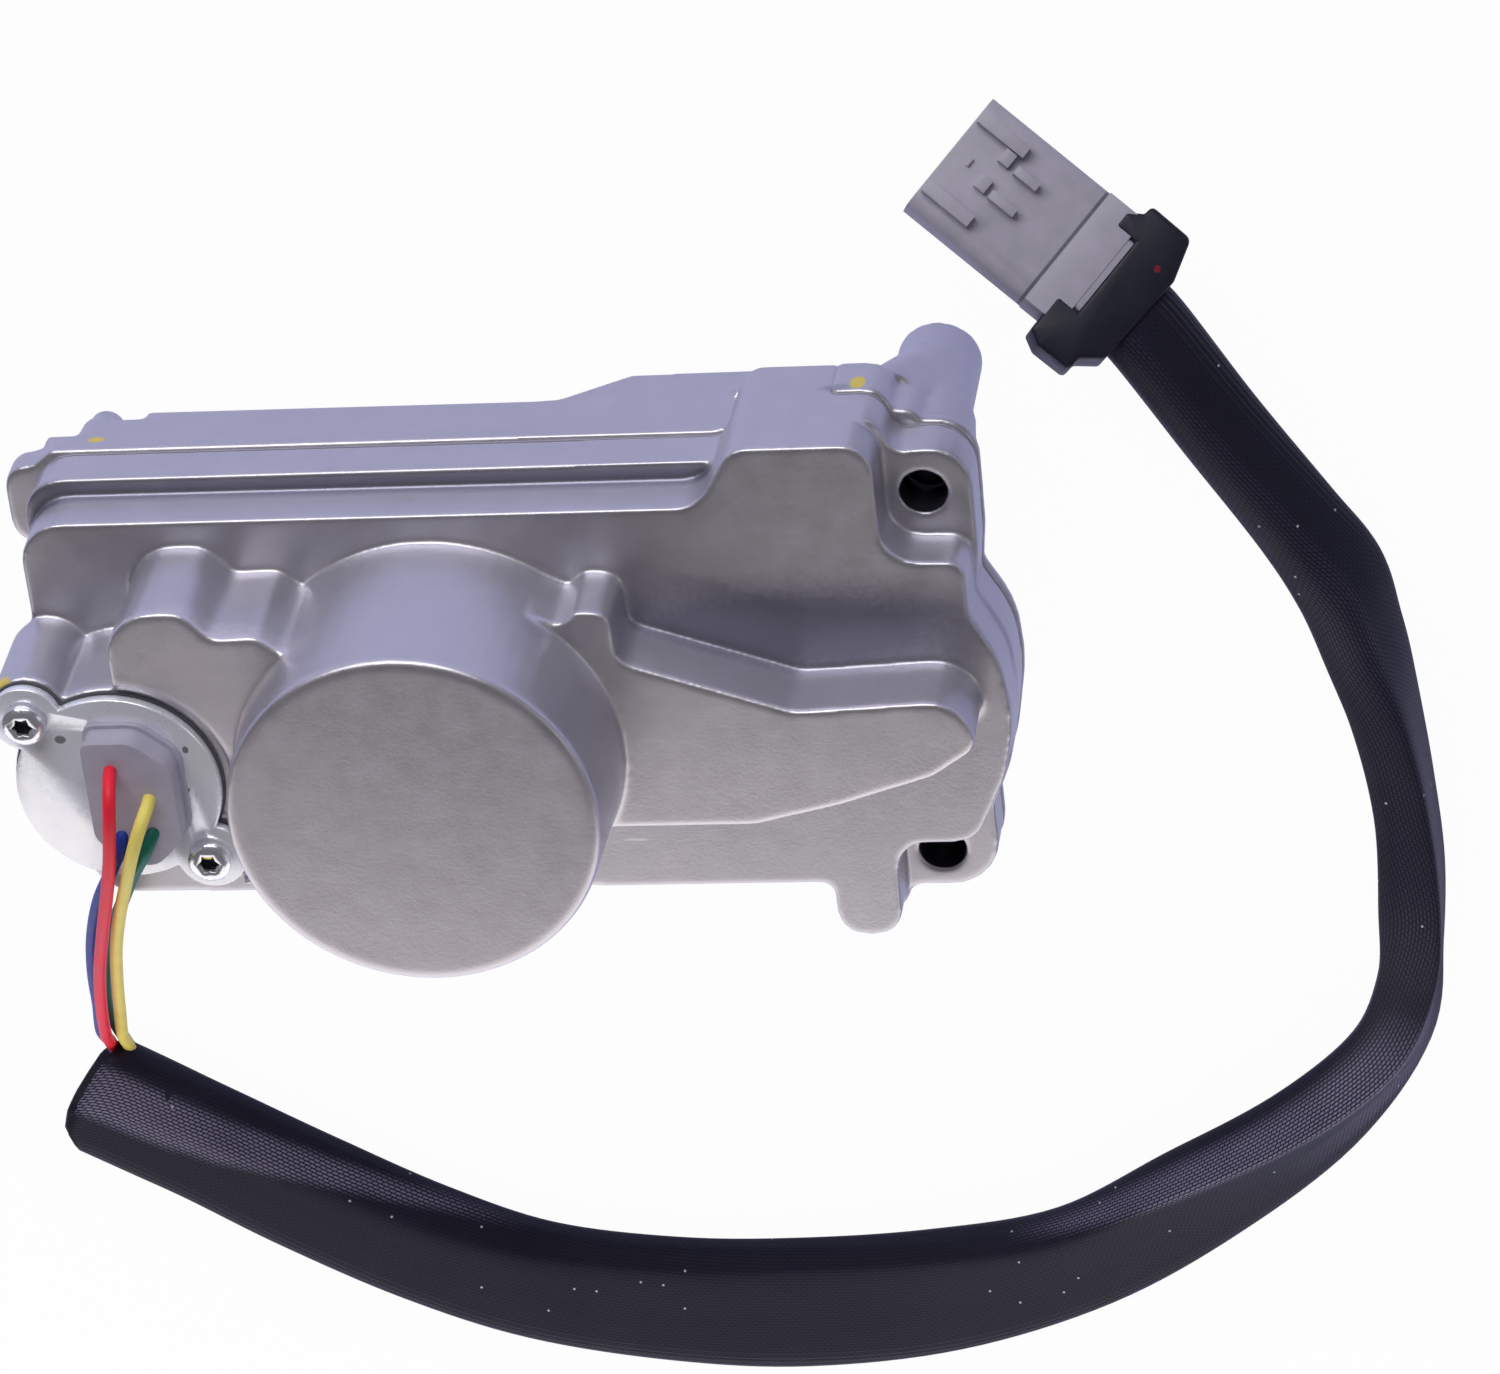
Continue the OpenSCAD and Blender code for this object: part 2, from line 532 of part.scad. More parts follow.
module rear_shape() {
    difference() {
        intersection() {
            union() {
                slab(seam_corners, rim_z, rear_top_z);
                slab(body_corners, tray_z, rear_top_z);
            }
            rear_levels();
        }
        // The lug at the connector's end is shallow
        translate([lug_x - reach, lug_wall_y, 0]) cube([reach, reach, lug_z]);
        translate([lug_wall_x - reach, 0, 0]) cube([reach, reach, lug_z]);
    }
    slab(sump_corners, sump_z, rear_top_z);
    // Slope between the tray's floor and the sump's
    translate([0, slope_y, 0]) rotate([90, 0, 0]) linear_extrude(slope_w)
        polygon([[slope_from - 4, tray_z + 1], [slope_from, tray_z], [slope_to, sump_z],
            [slope_to + 2, sump_z + 6], [slope_to + 2, tray_z + 1]]);
    at(leg_a) rod(leg_r, 0, rear_top_z);
    at(leg_b) rod(leg_r, 0, rear_top_z);
    // Web between the wide ear and its leg
    hull() {
        at(leg_a) rod(leg_r, web_from, ear_z);
        at(web_at) rod(web_r, ear_z - 2, ear_z + 1);
    }
    at(hole_c) rod(leg_c_r, 0, tray_z + 2);
    for (place = seam_places) at(place) rod(ear_r, min(place.z, ear_z), rear_top_z);
    at(output_c) rod(pilot_r, pilot_z, sump_z + 1);
}

module rear_casting() color([0.58, 0.57, 0.62]) placed() difference() {
    rear_shape();
    for (place = [hole_a, hole_b]) at(place) rod(mount_r, -1, seam_z);
    at(hole_c) rod(tapped_r, -1, tapped_depth);
    difference() {
        union() {
            intersection() {
                slab(inset(rear_case_corners, wall), tray_z + wall, seam_z, 3);
                union() {
                    translate([end_x + wall, -reach, tray_z]) cube([2 * reach, 2 * reach, tray_depth]);
                    translate([-reach, -reach, tray_z + end_step + wall])
                        cube([reach, 2 * reach, tray_depth]);
                }
            }
            intersection() {
                slab(inset(sump_corners, wall), sump_z + wall, seam_z, 3);
                translate([slope_to + 1, -reach, sump_z]) cube([reach, 2 * reach, sump_depth]);
            }
        }
        for (place = seam_places) at(place) rod(ear_r, tray_z, seam_z);
        for (place = [leg_a, leg_b]) at(place) rod(leg_r, 0, seam_z);
        for (place = board_places) at(place) rod(board_post_r, tray_z, board_z);
        at(idler_c) rod(idler_boss_r, sump_z, idler_pinion_z - axial_gap);
    }
    // Output bearing, seal and groove of the O-ring
    at(output_c) rod(output_shaft_r + 1.2, pilot_z - 1, seam_z);
    at(output_c) rod(bearing_outer_r, lower_bearing_z, seam_z);
    at(output_c) rod(bearing_outer_r, pilot_z - 1, seal_top);
    at(output_c, o_ring_z) tube(pilot_r + 1, o_ring_at - o_ring_r - 0.05, -o_ring_r - 0.1, o_ring_r + 0.1);
    at(idler_c) rod(idler_axle_r, axle_from, seam_z);
    for (place = board_places) at(place) rod(board_screw_r, board_z - board_grip, board_z + 1);
    for (place = seam_places) at(place) rod(seam_screw_r + screw_clearance, 0, seam_z);
    for (place = seam_places) at(place) rod(seam_head_r + 0.5, 0, place.z);
    apron_room(body_gap);
}

module housing_gasket() color([0.12, 0.12, 0.13]) placed() difference() {
    slab(inset(lip_corners, 0.3), rear_top_z, seam_z);
    difference() {
        slab(inset(case_corners, wall), rear_top_z - 1, seam_z + 1, 3);
        for (place = seam_places) at(place) rod(ear_r, rear_top_z - 1, seam_z + 1);
    }
    for (place = seam_places) at(place) rod(seam_screw_r + screw_clearance, rear_top_z - 1, seam_z + 1);
    for (place = [hole_a, hole_b]) at(place) rod(mount_r + screw_clearance, rear_top_z - 1, seam_z + 1);
    apron_room(body_gap);
}

module seam_screws() color([0.75, 0.75, 0.78]) placed() for (place = seam_places) at(place) {
    difference() {
        rod(seam_head_r, place.z - seam_head_h, place.z);
        rotate(30) translate([0, 0, place.z - seam_head_h - 1])
            cylinder(r = socket_r, h = 1 + socket_h, $fn = 6);
    }
    rod(seam_screw_r, place.z - 0.1, place.z + seam_screw_len);
}

module winding_slots(from_z, to_z) for (k = [0:slots - 1]) rotate(k * 360 / slots)
    translate([slot_from, -slot_w / 2, from_z]) cube([slot_to - slot_from, slot_w, to_z - from_z]);

module motor_core() color([0.5, 0.5, 0.52]) placed() difference() {
    tube(dome_bore_r, core_bore_r, core_z, core_top);
    winding_slots(core_z - 1, core_top + 1);
}

module motor_windings() color([0.72, 0.4, 0.2]) placed() {
    tube(coil_outer_r, coil_inner_r, core_z - coil_rise, core_z);
    tube(coil_outer_r, coil_inner_r, core_top, core_top + coil_rise);
    winding_slots(core_z - 0.1, core_top + 0.1);
}

module rotor_shaft() color([0.78, 0.78, 0.8]) placed() {
    rod(motor_shaft_r, motor_pinion_z, dome_inner_z - 0.2);
    gear(motor_module, pinion_teeth, motor_pinion_z, idler_top_z + 1);
}

module rotor_magnet() color([0.25, 0.25, 0.28]) placed()
    tube(rotor_r, motor_shaft_r, core_z - 0.5, core_top - 0.5);

module motor_bearing(from_z)
    tube(motor_bearing_r, motor_shaft_r + running_fit, from_z, from_z + motor_bearing_w);
module motor_bearing_front() color([0.8, 0.8, 0.82]) placed() motor_bearing(front_bearing_z);
module motor_bearing_rear() color([0.8, 0.8, 0.82]) placed() motor_bearing(rear_bearing_z);

module motor_plate() color([0.6, 0.6, 0.64]) placed() difference() {
    union() {
        rod(motor_plate_r, motor_plate_z, motor_plate_top);
        rod(hub_r, motor_plate_z, rear_bearing_z + motor_bearing_w);
    }
    rod(motor_bearing_r, rear_bearing_z, main_z + 10);
    rod(motor_shaft_r + 2, motor_plate_z - 1, main_z);
    at(idler_c) rod(idler_axle_r, motor_plate_z - 1, main_z);
    for (a = plate_screw_angles) rotate(a) translate([plate_screw_at, 0, 0])
        rod(plate_screw_r + screw_clearance, motor_plate_z - 1, main_z);
}

module motor_plate_screws() color([0.75, 0.75, 0.78]) placed()
    for (a = plate_screw_angles) rotate(a) translate([plate_screw_at, 0, 0]) {
        rod(plate_head_r, motor_plate_z - plate_head_h, motor_plate_z);
        rod(plate_screw_r, motor_plate_z - 0.1, motor_plate_top + plate_screw_grip);
    }

module idler_gear() color([0.75, 0.72, 0.62]) placed() at(idler_c) difference() {
    union() {
        gear(motor_module, wheel_teeth, idler_wheel_z, idler_top_z, idler_turn);
        gear(output_module, pinion_teeth, idler_pinion_z, idler_wheel_z + 0.1, idler_turn);
    }
    rod(idler_axle_r + running_fit, idler_pinion_z - 1, idler_top_z + 1);
}

module idler_axle() color([0.78, 0.78, 0.8]) placed() at(idler_c)
    rod(idler_axle_r, axle_from, motor_plate_top - 0.2);

module output_gear() color([0.75, 0.72, 0.62]) placed() at(output_c) difference() {
    union() {
        intersection() {
            gear(output_module, wheel_teeth, output_gear_z, output_gear_z + output_gear_t, output_turn);
            rotate(contact_dir) translate([0, 0, output_gear_z - 1]) linear_extrude(output_gear_t + 2)
                polygon([[0, 0],
                    for (a = [sector_from:sector_step:sector_to]) sector_reach * [cos(a), sin(a)]]);
        }
        rod(output_hub_r, output_gear_z - 3, output_gear_z + output_gear_t + 3);
    }
    rod(output_shaft_r, output_gear_z - 4, output_gear_z + output_gear_t + 4);
}

module output_shaft() color([0.8, 0.8, 0.82]) placed() at(output_c) {
    rod(output_shaft_r, output_pinion_top - output_pinion_h, shaft_top);
    gear(output_module, output_pinion_teeth, output_pinion_top - output_pinion_h, output_pinion_top);
}

module output_bearing_upper() color([0.8, 0.8, 0.82]) placed() at(output_c)
    tube(upper_bearing_outer_r, output_shaft_r + running_fit, shaft_top - bearing_w, shaft_top);
module output_bearing_lower() color([0.8, 0.8, 0.82]) placed() at(output_c)
    tube(bearing_outer_r, output_shaft_r + running_fit, lower_bearing_z, lower_bearing_z + bearing_w);
module shaft_seal() color([0.15, 0.15, 0.16]) placed() at(output_c)
    tube(bearing_outer_r, output_shaft_r + running_fit, pilot_z + 0.4, seal_top);
module pilot_o_ring() color([0.15, 0.15, 0.16]) placed() at(output_c, o_ring_z)
    rotate_extrude() translate([o_ring_at, 0]) circle(r = o_ring_r, $fn = 16);
module position_magnet() color([0.3, 0.3, 0.33]) placed() at(output_c)
    rod(magnet_r, shaft_top, shaft_top + magnet_h);
module position_sensor() color([0.1, 0.35, 0.2]) placed() at(output_c)
    rod(sensor_bore_r - 0.1, arm_z - wall - sensor_t, arm_z - wall);

module circuit_board() color([0.1, 0.35, 0.2]) placed() difference() {
    slab(board_corners, board_z, board_top);
    for (place = board_places) at(place) rod(board_screw_r + screw_clearance, board_z - 1, board_top + 1);
}

module board_capacitors() color([0.2, 0.2, 0.22]) placed()
    for (place = capacitor_places) at(place) rod(capacitor_r, board_top, board_top + capacitor_h);
module board_chips() color([0.08, 0.08, 0.09]) placed() {
    for (chip = chips) translate([chip[0], chip[1], board_top]) cube([chip[2], chip[3], chip[4]]);
}
module board_screws() color([0.75, 0.75, 0.78]) placed() for (place = board_places) at(place) {
    rod(board_head_r, board_top, board_top + board_head_h);
    rod(board_screw_r, board_z - board_grip + 0.2, board_top + 0.1);
}

module flange_plate() color([0.85, 0.86, 0.9]) placed() difference() {
    at(flange_c, plate_z) linear_extrude(plate_t) flange_plan(plate_r, lobe_r);
    slab(inset(grommet_corners, stem_inset), plate_z - 1, plate_top + 1);
    for (place = flange_screw_places) at(place)
        rod(flange_screw_r + screw_clearance, plate_z - 1, plate_top + 1);
}

module flange_gasket() color([0.1, 0.1, 0.11]) placed() difference() {
    at(flange_c, seat_z) linear_extrude(flange_gasket_t) flange_plan(plate_r + 0.4, lobe_r + 0.3);
    at(flange_c) rod(bay_r, seat_z - 1, plate_z + 1);
    for (place = flange_screw_places) at(place)
        rod(flange_screw_r + screw_clearance, seat_z - 1, plate_z + 1);
}

module flange_screws() color([0.88, 0.88, 0.9]) placed() for (place = flange_screw_places) at(place) {
    difference() {
        union() {
            rod(flange_head_r, plate_top, plate_top + flange_head_h - head_chamfer);
            translate([0, 0, plate_top + flange_head_h - head_chamfer])
                cylinder(r1 = flange_head_r, r2 = flange_head_r - head_chamfer - 0.2, h = head_chamfer);
        }
        translate([0, 0, plate_top + flange_head_h - star_depth]) linear_extrude(2 * star_depth)
            polygon([for (i = [0:11])
                (i % 2 == 0 ? star_tip_r : star_root_r) * [cos(i * 30), sin(i * 30)]]);
    }
    rod(flange_screw_r, seat_z - flange_screw_depth + 0.5, plate_top + 0.1);
}

module grommet() color([0.6, 0.6, 0.64]) placed() {
    slab(inset(grommet_corners, -brim_w), plate_top, plate_top + brim_t);
    slab(grommet_corners, plate_top, plate_top + grommet_h);
    slab(inset(grommet_corners, stem_inset), plate_z, plate_top + 0.1);
    intersection() {
        slab(inset(grommet_corners, stem_inset), seat_z - plug_in_depth, plate_top);
        at(flange_c) rod(bay_r - 1, seat_z - plug_in_depth, plate_top);
    }
}

module wire_red() color([0.85, 0.15, 0.22]) wire(red_route);
module wire_yellow() color([0.85, 0.8, 0.3]) wire(yellow_route);
module wire_blue() color([0.12, 0.2, 0.6]) wire(blue_route);
module wire_green() color([0.08, 0.38, 0.33]) wire(green_route);
module braided_sleeve() color([0.1, 0.1, 0.12]) placed()
    swept([for (i = [0:len(sleeve_route) - 1]) sleeve_ring(sleeve_route, i)]);

module plug_frame() placed() translate(plug_c) rotate(plug_turn) children();
module along_x(from_x, to_x)
    translate([from_x, 0, 0]) rotate([90, 0, 90]) linear_extrude(to_x - from_x) children();
module plug_section(half_w, half_t, r)
    polygon(rounded([[-half_w, -half_t, r], [-half_w, half_t, r], [half_w, half_t, r],
        [half_w, -half_t, r]], 4));
module terminal_row(from_x, to_x, slack) for (k = [0:terminal_count - 1])
    translate([from_x, (k - (terminal_count - 1) / 2) * terminal_pitch - terminal_w / 2 - slack,
        -terminal_t / 2 - slack])
        cube([to_x - from_x, terminal_w + 2 * slack, terminal_t + 2 * slack]);

module plug_shell() color([0.6, 0.59, 0.65]) plug_frame() {
    difference() {
        union() {
            along_x(0, shell_len) plug_section(plug_half_w, plug_half_t, 3);
            along_x(shell_len - 1, tail_len) plug_section(tail_half_w, plug_half_t, 1);
            for (rib = ribs) translate([rib[0], rib[1], 0]) cube([rib[2], rib[3], plug_half_t + rib_h]);
        }
        along_x(-1, mouth_depth) plug_section(plug_half_w - mouth_wall, plug_half_t - mouth_wall, 2);
    }
    difference() {
        along_x(1, mouth_depth + 1) plug_section(core_half_w, core_half_t, 1.2);
        terminal_row(0, mouth_depth - 1, terminal_slack);
    }
}

module plug_seal() color([0.55, 0.2, 0.15]) plug_frame() difference() {
    along_x(mouth_depth - seal_len, mouth_depth)
        plug_section(plug_half_w - mouth_wall, plug_half_t - mouth_wall, 2);
    along_x(0, mouth_depth + 1) plug_section(core_half_w, core_half_t, 1.2);
}

module plug_terminals() color([0.8, 0.75, 0.5]) plug_frame() terminal_row(3, mouth_depth - 1, 0);

module plug_retainer() color([0.12, 0.12, 0.14]) plug_frame()
    translate([shell_len, 0, -retainer_half_t]) linear_extrude(2 * retainer_half_t)
        polygon(rounded(retainer_corners, 3));

front_casting();
rear_casting();
housing_gasket();
seam_screws();
motor_core();
motor_windings();
rotor_shaft();
rotor_magnet();
motor_bearing_front();
motor_bearing_rear();
motor_plate();
motor_plate_screws();
idler_gear();
idler_axle();
output_gear();
output_shaft();
output_bearing_upper();
output_bearing_lower();
shaft_seal();
pilot_o_ring();
position_magnet();
position_sensor();
circuit_board();
board_capacitors();
board_chips();
board_screws();
flange_plate();
flange_gasket();
flange_screws();
grommet();
wire_red();
wire_yellow();
wire_blue();
wire_green();
braided_sleeve();
plug_shell();
plug_retainer();
plug_terminals();
plug_seal();
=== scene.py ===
import math
import bmesh
import bpy
from mathutils import Matrix, Vector


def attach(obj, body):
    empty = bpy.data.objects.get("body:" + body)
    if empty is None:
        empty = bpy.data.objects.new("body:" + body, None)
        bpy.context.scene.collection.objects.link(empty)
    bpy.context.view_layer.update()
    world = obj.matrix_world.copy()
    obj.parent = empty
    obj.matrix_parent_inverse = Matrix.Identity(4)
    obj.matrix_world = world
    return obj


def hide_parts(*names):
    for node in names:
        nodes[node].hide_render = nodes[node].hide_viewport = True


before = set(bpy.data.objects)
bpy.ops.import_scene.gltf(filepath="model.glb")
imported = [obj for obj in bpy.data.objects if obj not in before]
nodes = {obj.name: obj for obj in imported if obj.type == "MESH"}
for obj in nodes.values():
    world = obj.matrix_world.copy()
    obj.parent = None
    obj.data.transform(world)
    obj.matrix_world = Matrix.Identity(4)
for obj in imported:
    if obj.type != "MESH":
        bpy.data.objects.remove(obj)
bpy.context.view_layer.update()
scene = bpy.context.scene
scene.view_settings.view_transform = "Standard"
bpy.ops.object.select_all(action="DESELECT")
print("frame loaded,", len(nodes), "nodes")

originHole = {"x": 95.5, "y": 39.3}  # bolt hole a, the frame's origin, in millimetres off the motor's axis


def place(x, y, z):  # from millimetres off the motor's axis to the frame's metres
    return Vector(((x - originHole["x"]) / 1000, (y - originHole["y"]) / 1000, z / 1000))


# the camera was solved for the photo: right and down are the picture's own directions
camera = {
    "place": (0.1957, 0.7028, 1.2479),
    "right": (0.98631, -0.10576, -0.12648),
    "down": (-0.02268, -0.84688, 0.53131),
    "ahead": (-0.16331, -0.52117, -0.83768),
    "lens": 177.65,
    "sensor": 36,
    "clip": (0.05, 20),
}


def photoCamera(look):
    data = bpy.data.cameras.new("photoCamera")
    data.lens = look["lens"]
    data.sensor_fit = "HORIZONTAL"
    data.sensor_width = look["sensor"]
    data.clip_start, data.clip_end = look["clip"]
    eye = bpy.data.objects.new("photoCamera", data)
    scene.collection.objects.link(eye)
    right, down, ahead = (Vector(look[key]) for key in ("right", "down", "ahead"))
    turn = Matrix((right, -down, -ahead)).transposed()
    eye.matrix_world = Matrix.Translation(look["place"]) @ turn.to_4x4()
    scene.camera = eye


photoCamera(camera)

lampTarget = (-0.07, -0.03, 0.05)
lamps = {
    "key": {"size": (1.1, 0.5), "reach": 1.15, "direction": (-0.16, 0.88, 0.44), "strength": 5.0,
            "colour": (0.98, 0.98, 1.0)},
    "panel": {"size": (0.9, 0.34), "reach": 0.32, "direction": (-0.12, -0.90, 0.39), "strength": 1.25,
              "colour": (1.0, 0.97, 0.96)},
    "side": {"size": (0.5, 0.8), "reach": 1.4, "direction": (0.85, 0.1, 0.5), "strength": 0.7,
             "colour": (0.96, 0.96, 1.0)},
}


def lamp(name, look):
    width, height = look["size"]
    data = bpy.data.lights.new(name, "AREA")
    data.shape = "RECTANGLE"
    data.size, data.size_y = width, height
    data.energy = look["strength"] * math.pi * width * height
    data.color = look["colour"]
    holder = bpy.data.objects.new(name, data)
    scene.collection.objects.link(holder)
    aim = Vector(look["direction"]).normalized()
    holder.location = Vector(lampTarget) + aim * look["reach"]
    holder.rotation_euler = aim.to_track_quat("Z", "Y").to_euler()
    holder.visible_camera = False


for lampName, lampLook in lamps.items():
    lamp(lampName, lampLook)

worldLook = {"ambient": (0.60, 0.58, 0.66), "strength": 0.18}


def studioWorld(look):  # white to the camera, dim and even to everything else
    world = bpy.data.worlds.new("studio")
    scene.world = world
    world.use_nodes = True
    tree = world.node_tree
    tree.nodes.clear()
    out = tree.nodes.new("ShaderNodeOutputWorld")
    ambient = tree.nodes.new("ShaderNodeBackground")
    ambient.inputs["Color"].default_value = (*look["ambient"], 1)
    ambient.inputs["Strength"].default_value = look["strength"]
    white = tree.nodes.new("ShaderNodeBackground")
    white.inputs["Color"].default_value = (1, 1, 1, 1)
    white.inputs["Strength"].default_value = 1.0
    ray = tree.nodes.new("ShaderNodeLightPath")
    mix = tree.nodes.new("ShaderNodeMixShader")
    tree.links.new(ray.outputs["Is Camera Ray"], mix.inputs[0])
    tree.links.new(ambient.outputs[0], mix.inputs[1])
    tree.links.new(white.outputs[0], mix.inputs[2])
    tree.links.new(mix.outputs[0], out.inputs["Surface"])


studioWorld(worldLook)


# small helpers that the materials share
def newMaterial(name, colour, metallic=0.0, roughness=0.5, specular=0.5):
    mat = bpy.data.materials.new(name)
    mat.use_nodes = True
    shader = mat.node_tree.nodes["Principled BSDF"]
    shader.inputs["Base Color"].default_value = (*colour, 1)
    shader.inputs["Metallic"].default_value = metallic
    shader.inputs["Roughness"].default_value = roughness
    shader.inputs["Specular IOR Level"].default_value = specular
    return mat, mat.node_tree, shader


def coords(tree, kind="Object", shift=(0, 0, 0), turned=(0, 0, 0), scale=(1, 1, 1)):
    source = tree.nodes.new("ShaderNodeTexCoord")
    mapping = tree.nodes.new("ShaderNodeMapping")
    mapping.inputs["Location"].default_value = shift
    mapping.inputs["Rotation"].default_value = turned
    mapping.inputs["Scale"].default_value = scale
    tree.links.new(source.outputs[kind], mapping.inputs["Vector"])
    return mapping.outputs["Vector"]


def noise(tree, vector, scale, detail=3, rough=0.55):
    node = tree.nodes.new("ShaderNodeTexNoise")
    node.inputs["Scale"].default_value = scale
    node.inputs["Detail"].default_value = detail
    node.inputs["Roughness"].default_value = rough
    tree.links.new(vector, node.inputs["Vector"])
    return node.outputs["Fac"]


def attribute(tree, name):  # a value that the mesh carries at its vertices
    node = tree.nodes.new("ShaderNodeAttribute")
    node.attribute_name = name
    return node.outputs["Fac"]


def ramp(tree, value, stops):
    node = tree.nodes.new("ShaderNodeValToRGB")
    band = node.color_ramp
    while len(band.elements) < len(stops):
        band.elements.new(0.5)
    for element, (at, colour) in zip(band.elements, stops):
        element.position = at
        element.color = (*colour, 1)
    tree.links.new(value, node.inputs["Fac"])
    return node.outputs["Color"]


def spread(tree, value, low, high, fromLow=0.3, fromHigh=0.7):
    node = tree.nodes.new("ShaderNodeMapRange")
    node.inputs["From Min"].default_value = fromLow
    node.inputs["From Max"].default_value = fromHigh
    node.inputs["To Min"].default_value = low
    node.inputs["To Max"].default_value = high
    tree.links.new(value, node.inputs["Value"])
    return node.outputs["Result"]


def maths(tree, kind, first, second=0):
    node = tree.nodes.new("ShaderNodeMath")
    node.operation = kind
    for socket, item in zip(node.inputs, (first, second)):
        if isinstance(item, (int, float)):
            socket.default_value = item
        else:
            tree.links.new(item, socket)
    return node.outputs[0]


def times(tree, first, second):
    return maths(tree, "MULTIPLY", first, second)


def mixed(tree, factor, first, second, kind="MIX"):
    node = tree.nodes.new("ShaderNodeMix")
    node.data_type = "RGBA"
    node.blend_type = kind
    for socket, item in ((node.inputs[0], factor), (node.inputs[6], first), (node.inputs[7], second)):
        if isinstance(item, tuple):
            socket.default_value = (*item, 1)
        elif isinstance(item, (int, float)):
            socket.default_value = item
        else:
            tree.links.new(item, socket)
    return node.outputs[2]


def tinted(tree, colour, mask, mark):  # the mark's colour where its mask is 1, as strong as its share
    return mixed(tree, times(tree, mask, mark.get("share", 1)), colour, mark["colour"])


def bumped(tree, shader, layers):  # layers are (height, strength, distance in metres)
    normal = None
    for height, strength, distance in layers:
        node = tree.nodes.new("ShaderNodeBump")
        node.inputs["Strength"].default_value = strength
        node.inputs["Distance"].default_value = distance
        tree.links.new(height, node.inputs["Height"])
        if normal is not None:
            tree.links.new(normal, node.inputs["Normal"])
        normal = node.outputs["Normal"]
    tree.links.new(normal, shader.inputs["Normal"])


def spot(tree, mark, wobble=0.35, edge=0.12, raggedScale=900):  # 1 in the mark's radii, with a ragged rim
    radii = mark["radii"]
    shift = tuple(-c / r for c, r in zip(mark["place"], radii))
    length = tree.nodes.new("ShaderNodeVectorMath")
    length.operation = "LENGTH"
    tree.links.new(coords(tree, shift=shift, scale=tuple(1 / r for r in radii)), length.inputs[0])
    ragged = times(tree, noise(tree, coords(tree), raggedScale), wobble)
    far = maths(tree, "ADD", length.outputs["Value"], ragged)
    return spread(tree, far, 1, 0, 1 - edge + wobble / 2, 1 + edge + wobble / 2)


def boxed(tree, box, vector=None):  # 1 inside a box of the object's space, or of the given vector's
    split = tree.nodes.new("ShaderNodeSeparateXYZ")
    tree.links.new(coords(tree) if vector is None else vector, split.inputs[0])
    edge = box["edge"]
    inside = 1
    for value, low, high in zip(split.outputs, box["low"], box["high"]):
        rise = spread(tree, value, 0, 1, low - edge, low + edge)
        fall = spread(tree, value, 1, 0, high - edge, high + edge)
        inside = times(tree, inside, times(tree, rise, fall))
    return inside


floorLook = {"colour": (0.80, 0.80, 0.88), "roughness": 0.9, "veil": 0.97, "mirrored": (0.64, 0.65, 1.0),
             "mirrorVeil": 0.7, "size": 7.0, "height": -0.0002}


def glow(tree, colour):
    node = tree.nodes.new("ShaderNodeEmission")
    node.inputs["Color"].default_value = (*colour, 1)
    node.inputs["Strength"].default_value = 1.0
    return node.outputs[0]


def blended(tree, factor, first, second):
    node = tree.nodes.new("ShaderNodeMixShader")
    for socket, item in zip(node.inputs, (factor, first, second)):
        tree.links.new(item, socket)
    return node.outputs[0]


def floorMaterial(look):  # nearly white to the camera, so that only the shadow's trace is left
    mat, tree, shader = newMaterial("floorPale", look["colour"], 0, look["roughness"], 0.1)
    ray = tree.nodes.new("ShaderNodeLightPath")
    seen = times(tree, ray.outputs["Is Camera Ray"], look["veil"])
    shiny = times(tree, ray.outputs["Is Glossy Ray"], look["mirrorVeil"])
    inMetal = blended(tree, shiny, shader.outputs[0], glow(tree, look["mirrored"]))
    surface = blended(tree, seen, inMetal, glow(tree, (1, 1, 1)))
    tree.links.new(surface, tree.nodes["Material Output"].inputs["Surface"])
    return mat


bpy.ops.mesh.primitive_plane_add(size=floorLook["size"], location=(0, 0, floorLook["height"]))
floor = bpy.context.active_object
floor.name = "floor"
bpy.ops.object.transform_apply(location=True, rotation=False, scale=False)
floor.data.materials.append(floorMaterial(floorLook))
print("camera, floor and lamps set")

